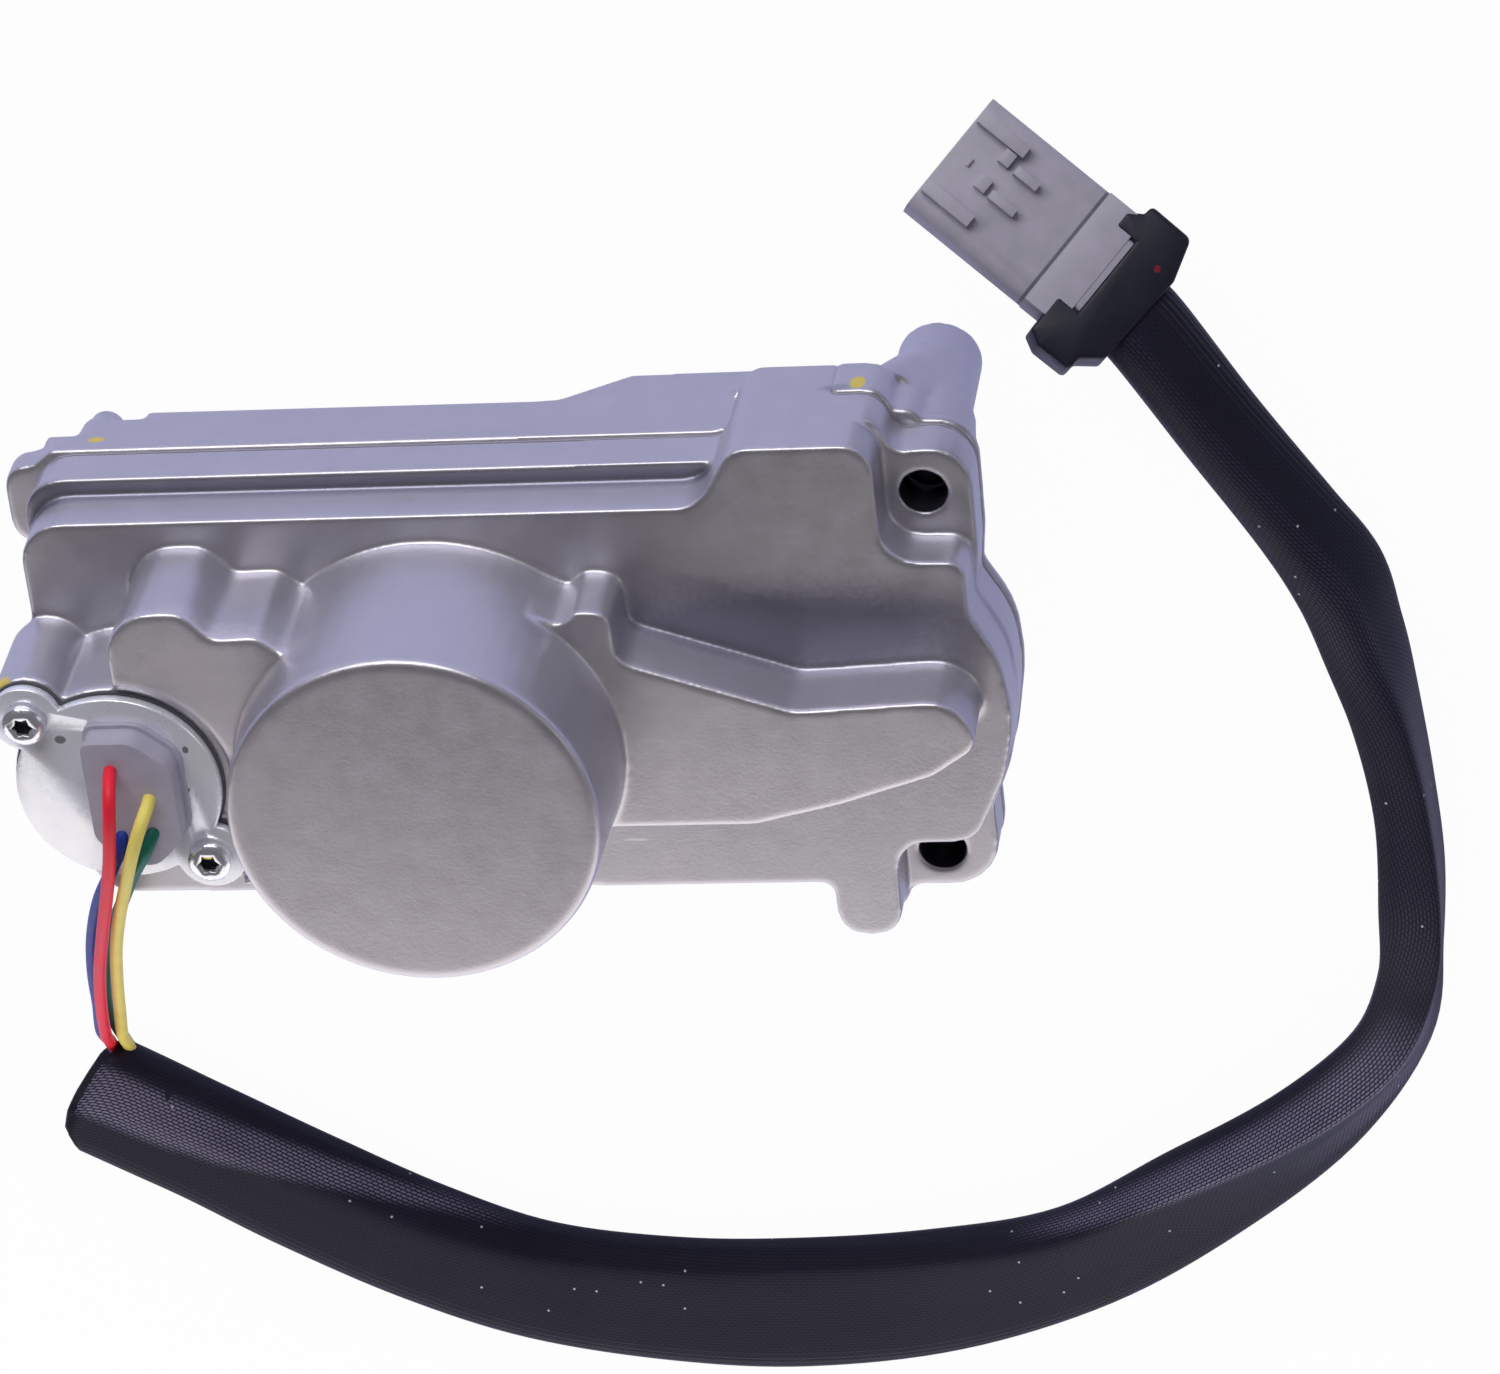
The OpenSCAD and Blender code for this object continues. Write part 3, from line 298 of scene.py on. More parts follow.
# finishes of the castings, metals, rubbers and plastics
paintYellow = (0.72, 0.56, 0.10)
# painted shade, near black, for the bolt holes' bores
paintedBoreShade = (0.02, 0.02, 0.03)
# painted shade for the screws' sockets
paintedSocketShade = (0.03, 0.03, 0.04)
pitGrey = (0.25, 0.25, 0.30)
alloyLook = {
    "colour": (0.60, 0.58, 0.62),
    "dark": (0.572, 0.554, 0.590),
    "warm": (0.630, 0.602, 0.630),
    # painted reflection: the walls' bluer colour stands in for the light they mirror; they are also less
    # metallic
    "wall": (0.55, 0.54, 0.62),
    "shade": (0.93, 0.925, 0.92),
    "metallic": 0.92,
    "wallMetallic": 0.7,
    "rough": (0.37, 0.42),
    "raised": [  # painted light: the dome's top and the gear arm's face are a little lighter, as if more lit
        {"low": place(-110, -70, 96), "high": place(60, 60, 110), "edge": 0.001,
         "colour": (0.66, 0.63, 0.675)},
        {"low": place(30, -70, 62.5), "high": place(120, 30, 80), "edge": 0.001,
         "colour": (0.70, 0.67, 0.70)},
    ],
    "tints": [  # the light patch left of the dome, painted shade along the foot of the gear arm's wall, a scratch, a stain
        {"place": place(-40, 18, 85), "radii": (0.022, 0.018, 0.006),
         "colour": (0.80, 0.76, 0.80), "share": 0.8},
        # painted shade along the foot of the gear arm's wall
        {"place": place(68, 16, 60.5), "radii": (0.036, 0.010, 0.003),
         "colour": (0.24, 0.23, 0.31), "share": 0.75},
        {"place": place(33.8, -31, 60.5), "radii": (0.0022, 0.0003, 0.0006),
         "colour": (0.92, 0.90, 0.94), "share": 0.6},
        {"place": place(79, 56, 38.2), "radii": (0.003, 0.001, 0.0012),
         "colour": (0.30, 0.29, 0.34), "share": 0.6},
    ],
    "paintedShade": [  # painted shade along the groove over the seam, dulling its highlight, and down the two bolt holes
        {"low": place(-78.6, -43.6, 49.4), "high": place(60, 46.6, 52.0), "edge": 0.0009,
         "colour": (0.20, 0.20, 0.27), "share": 0.85},
        {"low": place(90.6, 34.4, -1), "high": place(100.4, 44.2, 49.6), "edge": 0.0002,
         "colour": paintedBoreShade, "share": 0.95},
        {"low": place(86.8, -46.4, -1), "high": place(96.6, -36.6, 49.6), "edge": 0.0002,
         "colour": paintedBoreShade, "share": 0.95},
    ],
    "paint": [  # dabs of yellow marking paint
        {"place": place(-67.4, 47.6, 35.4), "radii": (0.0016, 0.0016, 0.0011), "colour": paintYellow},
        {"place": place(83, 56, 36.6), "radii": (0.0015, 0.0018, 0.0022), "colour": paintYellow},
        {"place": place(-80, 20.2, 82.2), "radii": (0.0030, 0.0022, 0.0028), "colour": paintYellow},
    ],
}


def castAlloy(name, look):
    mat, tree, shader = newMaterial(name, look["colour"], look["metallic"], look["rough"][1])
    vector = coords(tree)
    patches = noise(tree, vector, scale=42, detail=4, rough=0.6)
    clouds = noise(tree, vector, scale=170, detail=3, rough=0.6)
    grain = noise(tree, vector, scale=1500, detail=3, rough=0.6)
    upright = attribute(tree, "upright")
    tint = ramp(tree, patches, [(0.30, look["dark"]), (0.52, look["colour"]), (0.72, look["warm"])])
    # painted light on the dome's top and the gear arm's face
    for part in look["raised"]:
        tint = tinted(tree, tint, boxed(tree, part), part)
    # painted reflection on the upright walls
    skin = mixed(tree, upright, tint, look["wall"])
    shade = ramp(tree, clouds, [(0.25, look["shade"]), (0.75, (1.0, 1.0, 1.0))])
    colour = mixed(tree, 1.0, skin, shade, "MULTIPLY")
    # marks, among them painted shade at the foot of the gear arm's wall
    for mark in look["tints"]:
        colour = tinted(tree, colour, spot(tree, mark, wobble=0.5, edge=0.35), mark)
    # painted shade in the groove over the seam and down the bolt holes
    for corner in look["paintedShade"]:
        colour = tinted(tree, colour, boxed(tree, corner), corner)
    metal = spread(tree, upright, look["metallic"], look["wallMetallic"], 0, 1)
    for mark in look["paint"]:
        mask = spot(tree, mark)
        colour = tinted(tree, colour, mask, mark)
        metal = times(tree, metal, maths(tree, "SUBTRACT", 1.0, mask))
    tree.links.new(colour, shader.inputs["Base Color"])
    tree.links.new(metal, shader.inputs["Metallic"])
    tree.links.new(spread(tree, clouds, *look["rough"]), shader.inputs["Roughness"])
    bumped(tree, shader, [(clouds, 0.12, 0.0003), (grain, 0.35, 0.00008)])
    return mat


frontAlloy = castAlloy("castFront", alloyLook)
rearAlloy = castAlloy("castRear", alloyLook)

plateMarks = [  # small dark pits and scrapes in the flange plate
    {"place": place(-69.8, 10.8, 85.8), "radii": (0.0011, 0.0009, 0.0006), "colour": (0.30, 0.30, 0.34)},
    {"place": place(-45.7, 7.9, 85.8), "radii": (0.0006, 0.0008, 0.0006), "colour": pitGrey},
    {"place": place(-46.7, -1.2, 85.8), "radii": (0.0006, 0.0005, 0.0006), "colour": pitGrey},
]
socketShadeAndPaint = [  # painted shade in the two screws' sockets, and paint in one of them
    {"place": place(-76, 15.3, 86.3), "radii": (0.0026, 0.0026, 0.0021), "colour": paintedSocketShade},
    {"place": place(-44.2, -16.5, 86.3), "radii": (0.0026, 0.0026, 0.0021), "colour": paintedSocketShade},
    {"place": place(-44.6, -15.4, 87.4), "radii": (0.0012, 0.0009, 0.0012), "colour": paintYellow},
]
metalLooks = {  # a metal's own colour, the colour of its clouds, and its roughness from low to high
    "plateZinc": {"colour": (0.97, 0.97, 0.99), "clouded": (0.86, 0.88, 0.97), "rough": (0.20, 0.34),
                  "metallic": 0.45, "marks": plateMarks},
    "screwZinc": {"colour": (0.86, 0.86, 0.88), "clouded": (0.76, 0.77, 0.82), "rough": (0.14, 0.24),
                  "metallic": 0.85, "marks": socketShadeAndPaint},
    "groundSteel": {"colour": (0.58, 0.58, 0.60), "clouded": (0.52, 0.52, 0.55), "rough": (0.22, 0.34),
                    "metallic": 1.0, "marks": []},
    "copperEnamel": {"colour": (0.66, 0.28, 0.12), "clouded": (0.58, 0.22, 0.09), "rough": (0.25, 0.4),
                     "metallic": 1.0, "marks": []},
    "terminalBrass": {"colour": (0.74, 0.62, 0.34), "clouded": (0.68, 0.56, 0.30), "rough": (0.2, 0.3),
                      "metallic": 1.0, "marks": []},
}


def metalFinish(name, look):
    mat, tree, shader = newMaterial(name, look["colour"], look["metallic"], look["rough"][0])
    vector = coords(tree)
    cloud = noise(tree, vector, scale=90, detail=4, rough=0.65)
    fine = noise(tree, vector, scale=1100, detail=4, rough=0.7)
    colour = ramp(tree, cloud, [(0.3, look["colour"]), (0.7, look["clouded"])])
    for mark in look["marks"]:
        colour = tinted(tree, colour, spot(tree, mark, wobble=0.2, edge=0.06), mark)
    tree.links.new(colour, shader.inputs["Base Color"])
    tree.links.new(spread(tree, cloud, *look["rough"]), shader.inputs["Roughness"])
    bumped(tree, shader, [(cloud, 0.2, 0.0004), (fine, 0.25, 0.00006)])
    return mat


metals = {name: metalFinish(name, look) for name, look in metalLooks.items()}

# the plug lies tilted, so its own axes are needed for the painted shade of its groove and for its raised
# blocks
plugStart = place(101.2, 91.6, 13)
plugFrame = Matrix(((0.752, 0.625, 0.209, plugStart.x), (-0.613, 0.547, 0.570, plugStart.y),
                    (0.242, -0.557, 0.795, plugStart.z), (0, 0, 0, 1)))
# painted shade: a dark line where a groove would be, in front of the collar
plugGrooveShade = {"low": (0.0277, -0.02, -0.02), "high": (0.0284, 0.02, 0.02), "edge": 0.00012,
              "colour": (0.10, 0.095, 0.12), "share": 0.85}
retainerDot = {"place": place(140.6, 72.4, 25.4), "radii": (0.0006, 0.0006, 0.0016),
               "colour": (0.20, 0.01, 0.022)}
mouldedLooks = {  # colour and roughness, and where it isn't the usual one, the grain's depth and the gloss
    "gasketRubber": {"colour": (0.09, 0.09, 0.105), "rough": 0.6},
    "housingGasket": {"colour": (0.40, 0.39, 0.48), "rough": 0.5},
    "grommetRubber": {"colour": (0.42, 0.40, 0.50), "rough": 0.38, "grain": 0.15},
    "sealRubber": {"colour": (0.36, 0.08, 0.05), "rough": 0.45},
    "plugPlastic": {"colour": (0.44, 0.415, 0.50), "rough": 0.42, "grain": 0.15, "groove": plugGrooveShade},
    "retainerPlastic": {"colour": (0.011, 0.011, 0.024), "rough": 0.44, "grain": 0.15, "gloss": 0.3,
                        "dot": retainerDot},
    "componentPlastic": {"colour": (0.03, 0.03, 0.034), "rough": 0.5},
    "laminations": {"colour": (0.20, 0.20, 0.21), "rough": 0.5},
    "magnetIron": {"colour": (0.10, 0.10, 0.12), "rough": 0.4},
    "boardGreen": {"colour": (0.02, 0.15, 0.07), "rough": 0.35},
}


def mouldedFinish(name, look):
    colour, rough = look["colour"], look["rough"]
    mat, tree, shader = newMaterial(name, colour, 0, rough, look.get("gloss", 0.5))
    vector = coords(tree)
    cloud = noise(tree, vector, scale=220)
    fine = noise(tree, vector, scale=2600, detail=2)
    darker = tuple(c * 0.88 for c in colour)
    tone = ramp(tree, cloud, [(0.3, darker), (0.7, colour)])
    if "dot" in look:
        tone = tinted(tree, tone, spot(tree, look["dot"], wobble=0.2, edge=0.1), look["dot"])
    # painted shade of the plug's groove
    if "groove" in look:
        back = plugFrame.inverted()
        own = coords(tree, shift=tuple(back.to_translation()), turned=tuple(back.to_euler()))
        tone = tinted(tree, tone, boxed(tree, look["groove"], own), look["groove"])
    tree.links.new(tone, shader.inputs["Base Color"])
    tree.links.new(spread(tree, cloud, rough - 0.05, rough + 0.06), shader.inputs["Roughness"])
    bumped(tree, shader, [(fine, look.get("grain", 0.25), 0.00005)])
    return mat


moulded = {name: mouldedFinish(name, look) for name, look in mouldedLooks.items()}

innerFinish = {  # the nodes that are shown as packed, with their finish
    "groundSteel": ["seam_screws", "rotor_shaft", "motor_bearing_front", "motor_bearing_rear",
                    "motor_plate_screws", "idler_gear", "idler_axle", "output_gear", "output_shaft",
                    "output_bearing_upper", "output_bearing_lower", "board_screws"],
    "copperEnamel": ["motor_windings"],
    "terminalBrass": ["plug_terminals"],
    "gasketRubber": ["shaft_seal", "pilot_o_ring", "flange_gasket"],
    "housingGasket": ["housing_gasket"],
    "sealRubber": ["plug_seal"],
    "componentPlastic": ["board_capacitors", "board_chips"],
    "laminations": ["motor_core"],
    "magnetIron": ["rotor_magnet", "position_magnet"],
    "boardGreen": ["position_sensor", "circuit_board"],
    "castFront": ["motor_plate"],
}
finishes = {**metals, **moulded, "castFront": frontAlloy}
for finishName, nodeNames in innerFinish.items():
    for nodeName in nodeNames:
        nodes[nodeName].data.materials.clear()
        nodes[nodeName].data.materials.append(finishes[finishName])
print("finishes made")


# what the wires, the sleeve, the castings and the small parts share
def handOver(piece, finish, nodeName):  # its finish, its body and the node that it stands for
    piece.data.materials.clear()
    piece.data.materials.append(finish)
    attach(piece, "housing")
    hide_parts(nodeName)


def curved(p, q, r, s, t):  # Catmull-Rom between q and r
    square = (2 * p - 5 * q + 4 * r - s) * t * t
    cube = (3 * q - p - 3 * r + s) * t ** 3
    return 0.5 * (2 * q + (r - p) * t + square + cube)


def smoothPath(points, steps):  # a curve through every point, with any number of values a point
    out = []
    for i in range(len(points) - 1):
        four = (points[max(i - 1, 0)], points[i], points[i + 1], points[min(i + 2, len(points) - 1)])
        for k in range(steps):
            out.append([curved(p, q, r, s, k / steps) for p, q, r, s in zip(*four)])
    out.append(list(points[-1]))
    return out


def direction(line, i):  # the way that a line of points runs at one of them
    after, before = line[min(i + 1, len(line) - 1)], line[max(i - 1, 0)]
    return (Vector(after[:3]) - Vector(before[:3])).normalized()


def pathLength(points):
    return sum((Vector(b[:3]) - Vector(a[:3])).length for a, b in zip(points[:-1], points[1:]))


def skinned(name, rings, paintedSheen=None):  # a tube over rings of points, with a UV of lengths in metres
    mesh = bpy.data.meshes.new(name)
    work = bmesh.new()
    layer = work.loops.layers.uv.new("along")
    sheenLayer = work.verts.layers.float.new("paintedSheen")
    rows = [[work.verts.new(p) for p in ring] for ring in rings]
    if paintedSheen:
        for row, values in zip(rows, paintedSheen):
            for vert, value in zip(row, values):
                vert[sheenLayer] = value
    sides = len(rings[0])
    along = [0.0]
    for a, b in zip(rings[:-1], rings[1:]):
        along.append(along[-1] + sum((q - p).length for p, q in zip(a, b)) / sides)
    around = []
    for ring in rings:
        girth = [0.0]
        for j in range(sides):
            girth.append(girth[-1] + (ring[(j + 1) % sides] - ring[j]).length)
        around.append(girth)
    for i in range(len(rows) - 1):
        for j in range(sides):
            k = (j + 1) % sides
            face = work.faces.new((rows[i][j], rows[i + 1][j], rows[i + 1][k], rows[i][k]))
            face.smooth = True
            for loop, (u, v) in zip(face.loops, ((i, j), (i + 1, j), (i + 1, j + 1), (i, j + 1))):
                loop[layer].uv = (along[u], around[u][v])
    work.faces.new(rows[0])
    work.faces.new(list(reversed(rows[-1])))
    bmesh.ops.recalc_face_normals(work, faces=work.faces)
    work.to_mesh(mesh)
    work.free()
    piece = bpy.data.objects.new(name, mesh)
    scene.collection.objects.link(piece)
    return piece


# the four wires
wireLook = {"radius": 1.3, "sides": 16, "steps": 6, "exitHeight": 0.0928, "rough": (0.38, 0.5)}
wires = {
    "red": {"length": 0.181, "colour": (0.96, 0.028, 0.06), "worn": (0.86, 0.02, 0.045), "route": [
        (-59.5, 7.2, 90), (-58.7, 8, 95), (-58.2, 5.7, 99.5), (-59, -0.7, 100.3), (-61.2, -10.6, 97),
        (-64.9, -22.3, 90.4), (-70.2, -37.7, 80), (-76.8, -56.5, 65), (-82.8, -75.8, 49),
        (-88.5, -95, 31.2), (-93.4, -108, 14.2), (-95.1, -114.8, 6.6), (-92.5, -118.8, 6.4),
        (-88.5, -122, 7)]},
    "yellow": {"length": 0.1715, "colour": (0.93, 0.80, 0.19), "worn": (0.86, 0.72, 0.15), "route": [
        (-52.8, 0.8, 90), (-52.3, 1.3, 95), (-53.4, -1.2, 99.5), (-56, -7.8, 99), (-60.4, -19.2, 92),
        (-65.9, -33.2, 81.4), (-72, -50, 67.2), (-78, -69, 51), (-84, -88.5, 33.4), (-88.9, -103.6, 18.6),
        (-91.4, -113.2, 8.2), (-90.6, -117.4, 6.6), (-87, -120.5, 7)]},
    "blue": {"length": 0.157, "colour": (0.022, 0.050, 0.36), "worn": (0.016, 0.036, 0.28), "route": [
        (-59.1, -6.6, 90), (-59, -7, 92.5), (-60.5, -11.2, 93), (-64, -18.2, 89.6), (-69.9, -30.3, 80.4),
        (-77, -48.5, 65.2), (-83.2, -67.7, 49), (-88.8, -87.3, 31.6), (-94.2, -104.8, 15.4),
        (-95.6, -113.8, 6.4), (-94.6, -118, 5.4), (-91, -122, 6)]},
    "green": {"length": 0.159, "colour": (0.010, 0.17, 0.13), "worn": (0.008, 0.13, 0.10), "route": [
        (-52.5, -5.8, 90), (-52.8, -6.4, 92.5), (-54.8, -10.2, 94), (-58.9, -17.5, 90),
        (-65.1, -30.4, 79.4), (-74, -49.4, 61), (-81.4, -68.4, 45), (-87.6, -87, 28.8), (-92, -105.4, 12),
        (-92.8, -113.4, 5.4), (-91.5, -117.5, 4.6), (-88, -121, 5.6)]},
}


def wirePlastic(name, look):
    mat, tree, shader = newMaterial(name, look["colour"], 0, 0.44, 0.25)
    vector = coords(tree, "UV")
    cloud = noise(tree, vector, scale=160)
    fine = noise(tree, vector, scale=2200, detail=2)
    tone = ramp(tree, cloud, [(0.25, look["worn"]), (0.6, look["colour"])])
    tree.links.new(tone, shader.inputs["Base Color"])
    tree.links.new(spread(tree, cloud, *wireLook["rough"]), shader.inputs["Roughness"])
    bumped(tree, shader, [(fine, 0.12, 0.00004)])
    return mat


def wireRings(line):  # round sections along the wire, in the frame
    rings = []
    for i, p in enumerate(line):
        onward = direction(line, i)
        across = Vector((1, 0, 0)).cross(onward).normalized()
        rise = onward.cross(across)
        ring = []
        for j in range(wireLook["sides"]):
            angle = 2 * math.pi * j / wireLook["sides"]
            spoke = across * math.cos(angle) + rise * math.sin(angle)
            ring.append(place(*(Vector(p) + spoke * wireLook["radius"])))
        rings.append(ring)
    return rings


def layWire(colourName, look):
    line = smoothPath(look["route"], wireLook["steps"])
    nodeName = "wire_" + colourName
    wire = skinned(nodeName + "Lead", wireRings(line))
    handOver(wire, wirePlastic(nodeName + "Skin", look), nodeName)
    return round(pathLength(line), 1)


wireLengths = [layWire(colourName, look) for colourName, look in wires.items()]
print("wires laid, in mm", wireLengths)

# the braided sleeve: each route point is x, y, z, half width, half thickness and roll in degrees
sleeveLook = {
    "length": 0.499, "fine": 5, "steps": 8,
    "pictureDown": (0.846, 0.532),  # how far one unit across and one unit up go down in the picture
    "mouthRings": 3,  # rings over which the mouth's slanted rim fades out
    "inside": [(16, 0.89), (0.4, 0.89), (0, 0.92)],  # depth in mm and share of the mouth's size
    "bandEdge": 0.08,  # soft border of the painted sheen, as part of the sleeve's width
}
sleeveRoute = [
    (-98.1, -127.4, 8, 13.5, 5.8, 0), (-87.6, -134.1, 7.6, 13.5, 5.8, 0),
    (-76.7, -141.2, 7.2, 13.5, 5.7, 0), (-58.4, -153.4, 6.8, 13.9, 5.6, 0),
    (-35.2, -167.1, 6.5, 13.9, 5.5, 0), (-11.4, -177.4, 6.2, 13.9, 5.4, 0),
    (16.9, -182.8, 6, 14.6, 5.3, 0), (44.1, -184, 6, 15.2, 5.2, 0), (74.7, -180.6, 6.5, 14.8, 5.5, -6),
    (105.2, -171, 8, 12.7, 5.7, -14), (131.6, -154.3, 9.5, 12.6, 6, -25),
    (155.6, -135.4, 11.2, 11.5, 6.3, -42), (172.5, -114, 12.8, 11.3, 6.2, -65),
    (178.1, -94.3, 13.2, 11.6, 6, -85), (179.3, -75.5, 13.2, 12.7, 6.6, -90),
    (178.9, -54, 13.2, 11.3, 5.9, -90), (176.3, -32.9, 13.4, 10.8, 6, -85),
    (172.9, -16.8, 14, 10, 6.2, -70), (169.3, -2.7, 15, 10, 6.6, -60), (162, 11.8, 16.5, 9, 6.1, -50),
    (149.3, 35.8, 21, 8.7, 5.6, -40), (137.5, 59.6, 26, 8.8, 5.3, -35), (133.6, 63, 25, 9, 5.4, -35)]
sleeveForms = [  # section corners as parts of the half width and half thickness, by route point
    (0.0, [(1, 0), (0.96, 0.55), (0.78, 0.93), (0.4, 1), (0.1, 1.02), (-0.22, 0.98), (-0.58, 0.84),
           (-0.90, 0.54), (-1.06, -0.05), (-1.02, -0.62), (-0.8, -0.96), (-0.3, -1), (0.3, -1),
           (0.84, -0.92)]),
    (1.6, [(1, 0), (0.96, 0.55), (0.78, 0.93), (0.4, 1), (0, 1.02), (-0.30, 0.99), (-0.62, 0.62),
           (-0.93, 0.14), (-1, -0.22), (-0.98, -0.66), (-0.8, -0.96), (-0.3, -1), (0.3, -1), (0.84, -0.92)]),
    (3.6, [(1, 0), (0.96, 0.55), (0.78, 0.93), (0.4, 1), (0, 1.01), (-0.44, 0.98), (-0.71, 0.58),
           (-0.95, 0.10), (-1, -0.22), (-0.98, -0.66), (-0.8, -0.96), (-0.3, -1), (0.3, -1), (0.84, -0.92)]),
    (5.6, [(1, 0), (0.96, 0.55), (0.78, 0.93), (0.4, 1), (0, 1), (-0.62, 0.98), (-0.84, 0.72),
           (-0.97, 0.30), (-1, -0.12), (-0.97, -0.60), (-0.8, -0.95), (-0.3, -1), (0.3, -1), (0.84, -0.92)]),
    (8.6, [(1, 0), (0.97, 0.5), (0.82, 0.92), (0.4, 1), (0, 1), (-0.66, 0.99), (-0.88, 0.82),
           (-0.98, 0.42), (-1, -0.1), (-0.97, -0.60), (-0.8, -0.95), (-0.3, -1), (0.3, -1), (0.84, -0.92)]),
    (10.2, [(1, 0), (0.97, 0.5), (0.82, 0.90), (0.4, 0.94), (-0.1, 0.96), (-0.72, 1.0), (-0.965, 0.99),
            (-0.99, 0.60), (-1, -0.2), (-0.99, -0.72), (-0.84, -0.97), (-0.3, -1), (0.3, -1), (0.84, -0.92)]),
    (12.6, [(1, 0), (0.97, 0.5), (0.82, 0.86), (0.4, 0.88), (-0.1, 0.90), (-0.72, 0.98), (-0.97, 1.0),
            (-0.99, 0.60), (-1, -0.2), (-0.99, -0.72), (-0.84, -0.97), (-0.3, -1), (0.3, -1), (0.84, -0.92)]),
    (14.5, [(1, 0), (0.97, 0.5), (0.82, 0.9), (0.4, 0.9), (-0.1, 0.9), (-0.70, 0.94), (-0.93, 0.86),
            (-0.995, 0.45), (-1, -0.2), (-0.97, -0.64), (-0.82, -0.93), (-0.3, -0.9), (0.3, -0.9),
            (0.84, -0.9)]),
    (18.0, [(1, 0), (0.95, 0.55), (0.76, 0.9), (0.35, 1), (-0.1, 1), (-0.58, 0.94), (-0.84, 0.72),
            (-0.97, 0.34), (-1, -0.1), (-0.94, -0.56), (-0.74, -0.86), (-0.3, -1), (0.3, -1), (0.82, -0.84)]),
    (22.0, [(1, 0), (0.94, 0.55), (0.74, 0.88), (0.35, 1), (-0.1, 1), (-0.55, 0.94), (-0.82, 0.72),
            (-0.97, 0.34), (-1, -0.1), (-0.94, -0.56), (-0.74, -0.86), (-0.3, -1), (0.3, -1), (0.8, -0.82)]),
]
mouthCurve = [  # how far the mouth's rim reaches out, in mm, from the upper edge (0) to the lower one (1)
    (0, 2.4), (0.08, 3.4), (0.19, 5.0), (0.39, 5.4), (0.59, 5.6), (0.77, 5.3), (0.90, 4.4), (0.97, 1.7),
    (1, 0)]
paintedSheenBands = [  # painted sheen: route point, then the two borders across the sleeve and how strong the sheen is
    [(-1, 0.27, 0.73, 1), (1, 0.27, 0.67, 1), (2, 0.25, 0.60, 1), (3, 0.17, 0.39, 1), (4, 0.06, 0.17, 0.8),
     (4.8, 0.02, 0.08, 0)],
    [(8.6, 0.03, 0.10, 0), (9.2, 0.05, 0.16, 0.8), (10, 0.08, 0.28, 1), (11, 0.07, 0.30, 1),
     (11.6, 0.06, 0.40, 1), (12.2, 0.05, 0.8, 0.7), (12.8, 0.05, 0.7, 0)],
    [(10.6, 0.55, 0.80, 0), (11.4, 0.55, 0.85, 0.5), (11.9, 0.7, 0.95, 0.6), (12.6, 0.7, 1.0, 0)],
    [(12.6, 0.02, 0.25, 0), (13.4, 0.02, 0.22, 0.12), (15, 0.02, 0.3, 0.07), (16, 0.02, 0.42, 0.07),
     (17.2, 0.05, 0.5, 0.15), (19, 0.05, 0.5, 0.08), (22, 0.05, 0.5, 0.04)],
]


def between(rows, where):  # the rows on both sides of a place, and its share of the way between them
    for low, high in zip(rows[:-1], rows[1:]):
        if low[0] <= where <= high[0]:
            return low, high, (where - low[0]) / (high[0] - low[0])
    return None


def formAt(where):  # the section's corners at a place along the route, eased from form to form
    low, high, t = between(sleeveForms, where)
    t = t * t * (3 - 2 * t)
    return [(p[0] + (q[0] - p[0]) * t, p[1] + (q[1] - p[1]) * t) for p, q in zip(low[1], high[1])]


def mouthReach(where):
    low, high, t = between(mouthCurve, where)
    return low[1] + (high[1] - low[1]) * t


# how strong the painted sheen is at a place along the route and across the sleeve
def paintedSheenAt(where, across):
    edge = sleeveLook["bandEdge"]
    most = 0.0
    for band in paintedSheenBands:
        found = between(band, where)
        if found:
            low, high, t = found
            near, far, sheenStrength = (low[k] + (high[k] - low[k]) * t for k in (1, 2, 3))
            fromNear = min(1, max(0, (across - near) / edge + 0.5))
            fromFar = min(1, max(0, (far - across) / edge + 0.5))
            most = max(most, fromNear * fromFar * sheenStrength)
    return most


def sleeveSection(form, halfWidth, halfHeight, steps):  # a closed smooth curve through the form's corners
    count = len(form)
    out = []
    for i in range(count):
        p, q, r, s = (form[(i + k - 1) % count] for k in range(4))
        for k in range(steps):
            t = k / steps
            out.append((halfWidth * curved(p[0], q[0], r[0], s[0], t),
                        halfHeight * curved(p[1], q[1], r[1], s[1], t)))
    return out


def sleeveSkin(line):  # the outer rings, and the painted sheen at each of their points
    rings, sheenRows = [], []
    acrossDown, riseDown = sleeveLook["pictureDown"]
    for i, (x, y, z, halfWidth, halfHeight, rollDegrees) in enumerate(line):
        heading = direction(line, i)
        across = heading.cross(Vector((0, 0, 1))).normalized()
        rise = across.cross(heading)
        roll = math.radians(rollDegrees)
        where = i / sleeveLook["steps"]
        section = sleeveSection(formAt(where), halfWidth, halfHeight, sleeveLook["fine"])
        drops = [acrossDown * u + riseDown * v for u, v in section]
        shares = [(drop - min(drops)) / (max(drops) - min(drops)) for drop in drops]
        fade = max(0.0, 1 - i / sleeveLook["mouthRings"])
        ring = []
        for (u, v), share in zip(section, shares):
            side = across * (u * math.cos(roll) - v * math.sin(roll))
            top = rise * (u * math.sin(roll) + v * math.cos(roll))
            ring.append(place(*(Vector((x, y, z)) + side + top - heading * mouthReach(share) * fade)))
        rings.append(ring)
        sheenRows.append([paintedSheenAt(where, share) for share in shares])
    return rings, sheenRows


def sleeveInside(mouth, inward):  # rings that go back into the mouth, the deepest first
    centre = sum(mouth, Vector()) / len(mouth)
    return [[centre + (q - centre) * share + inward * depth / 1000 for q in mouth]
            for depth, share in sleeveLook["inside"]]


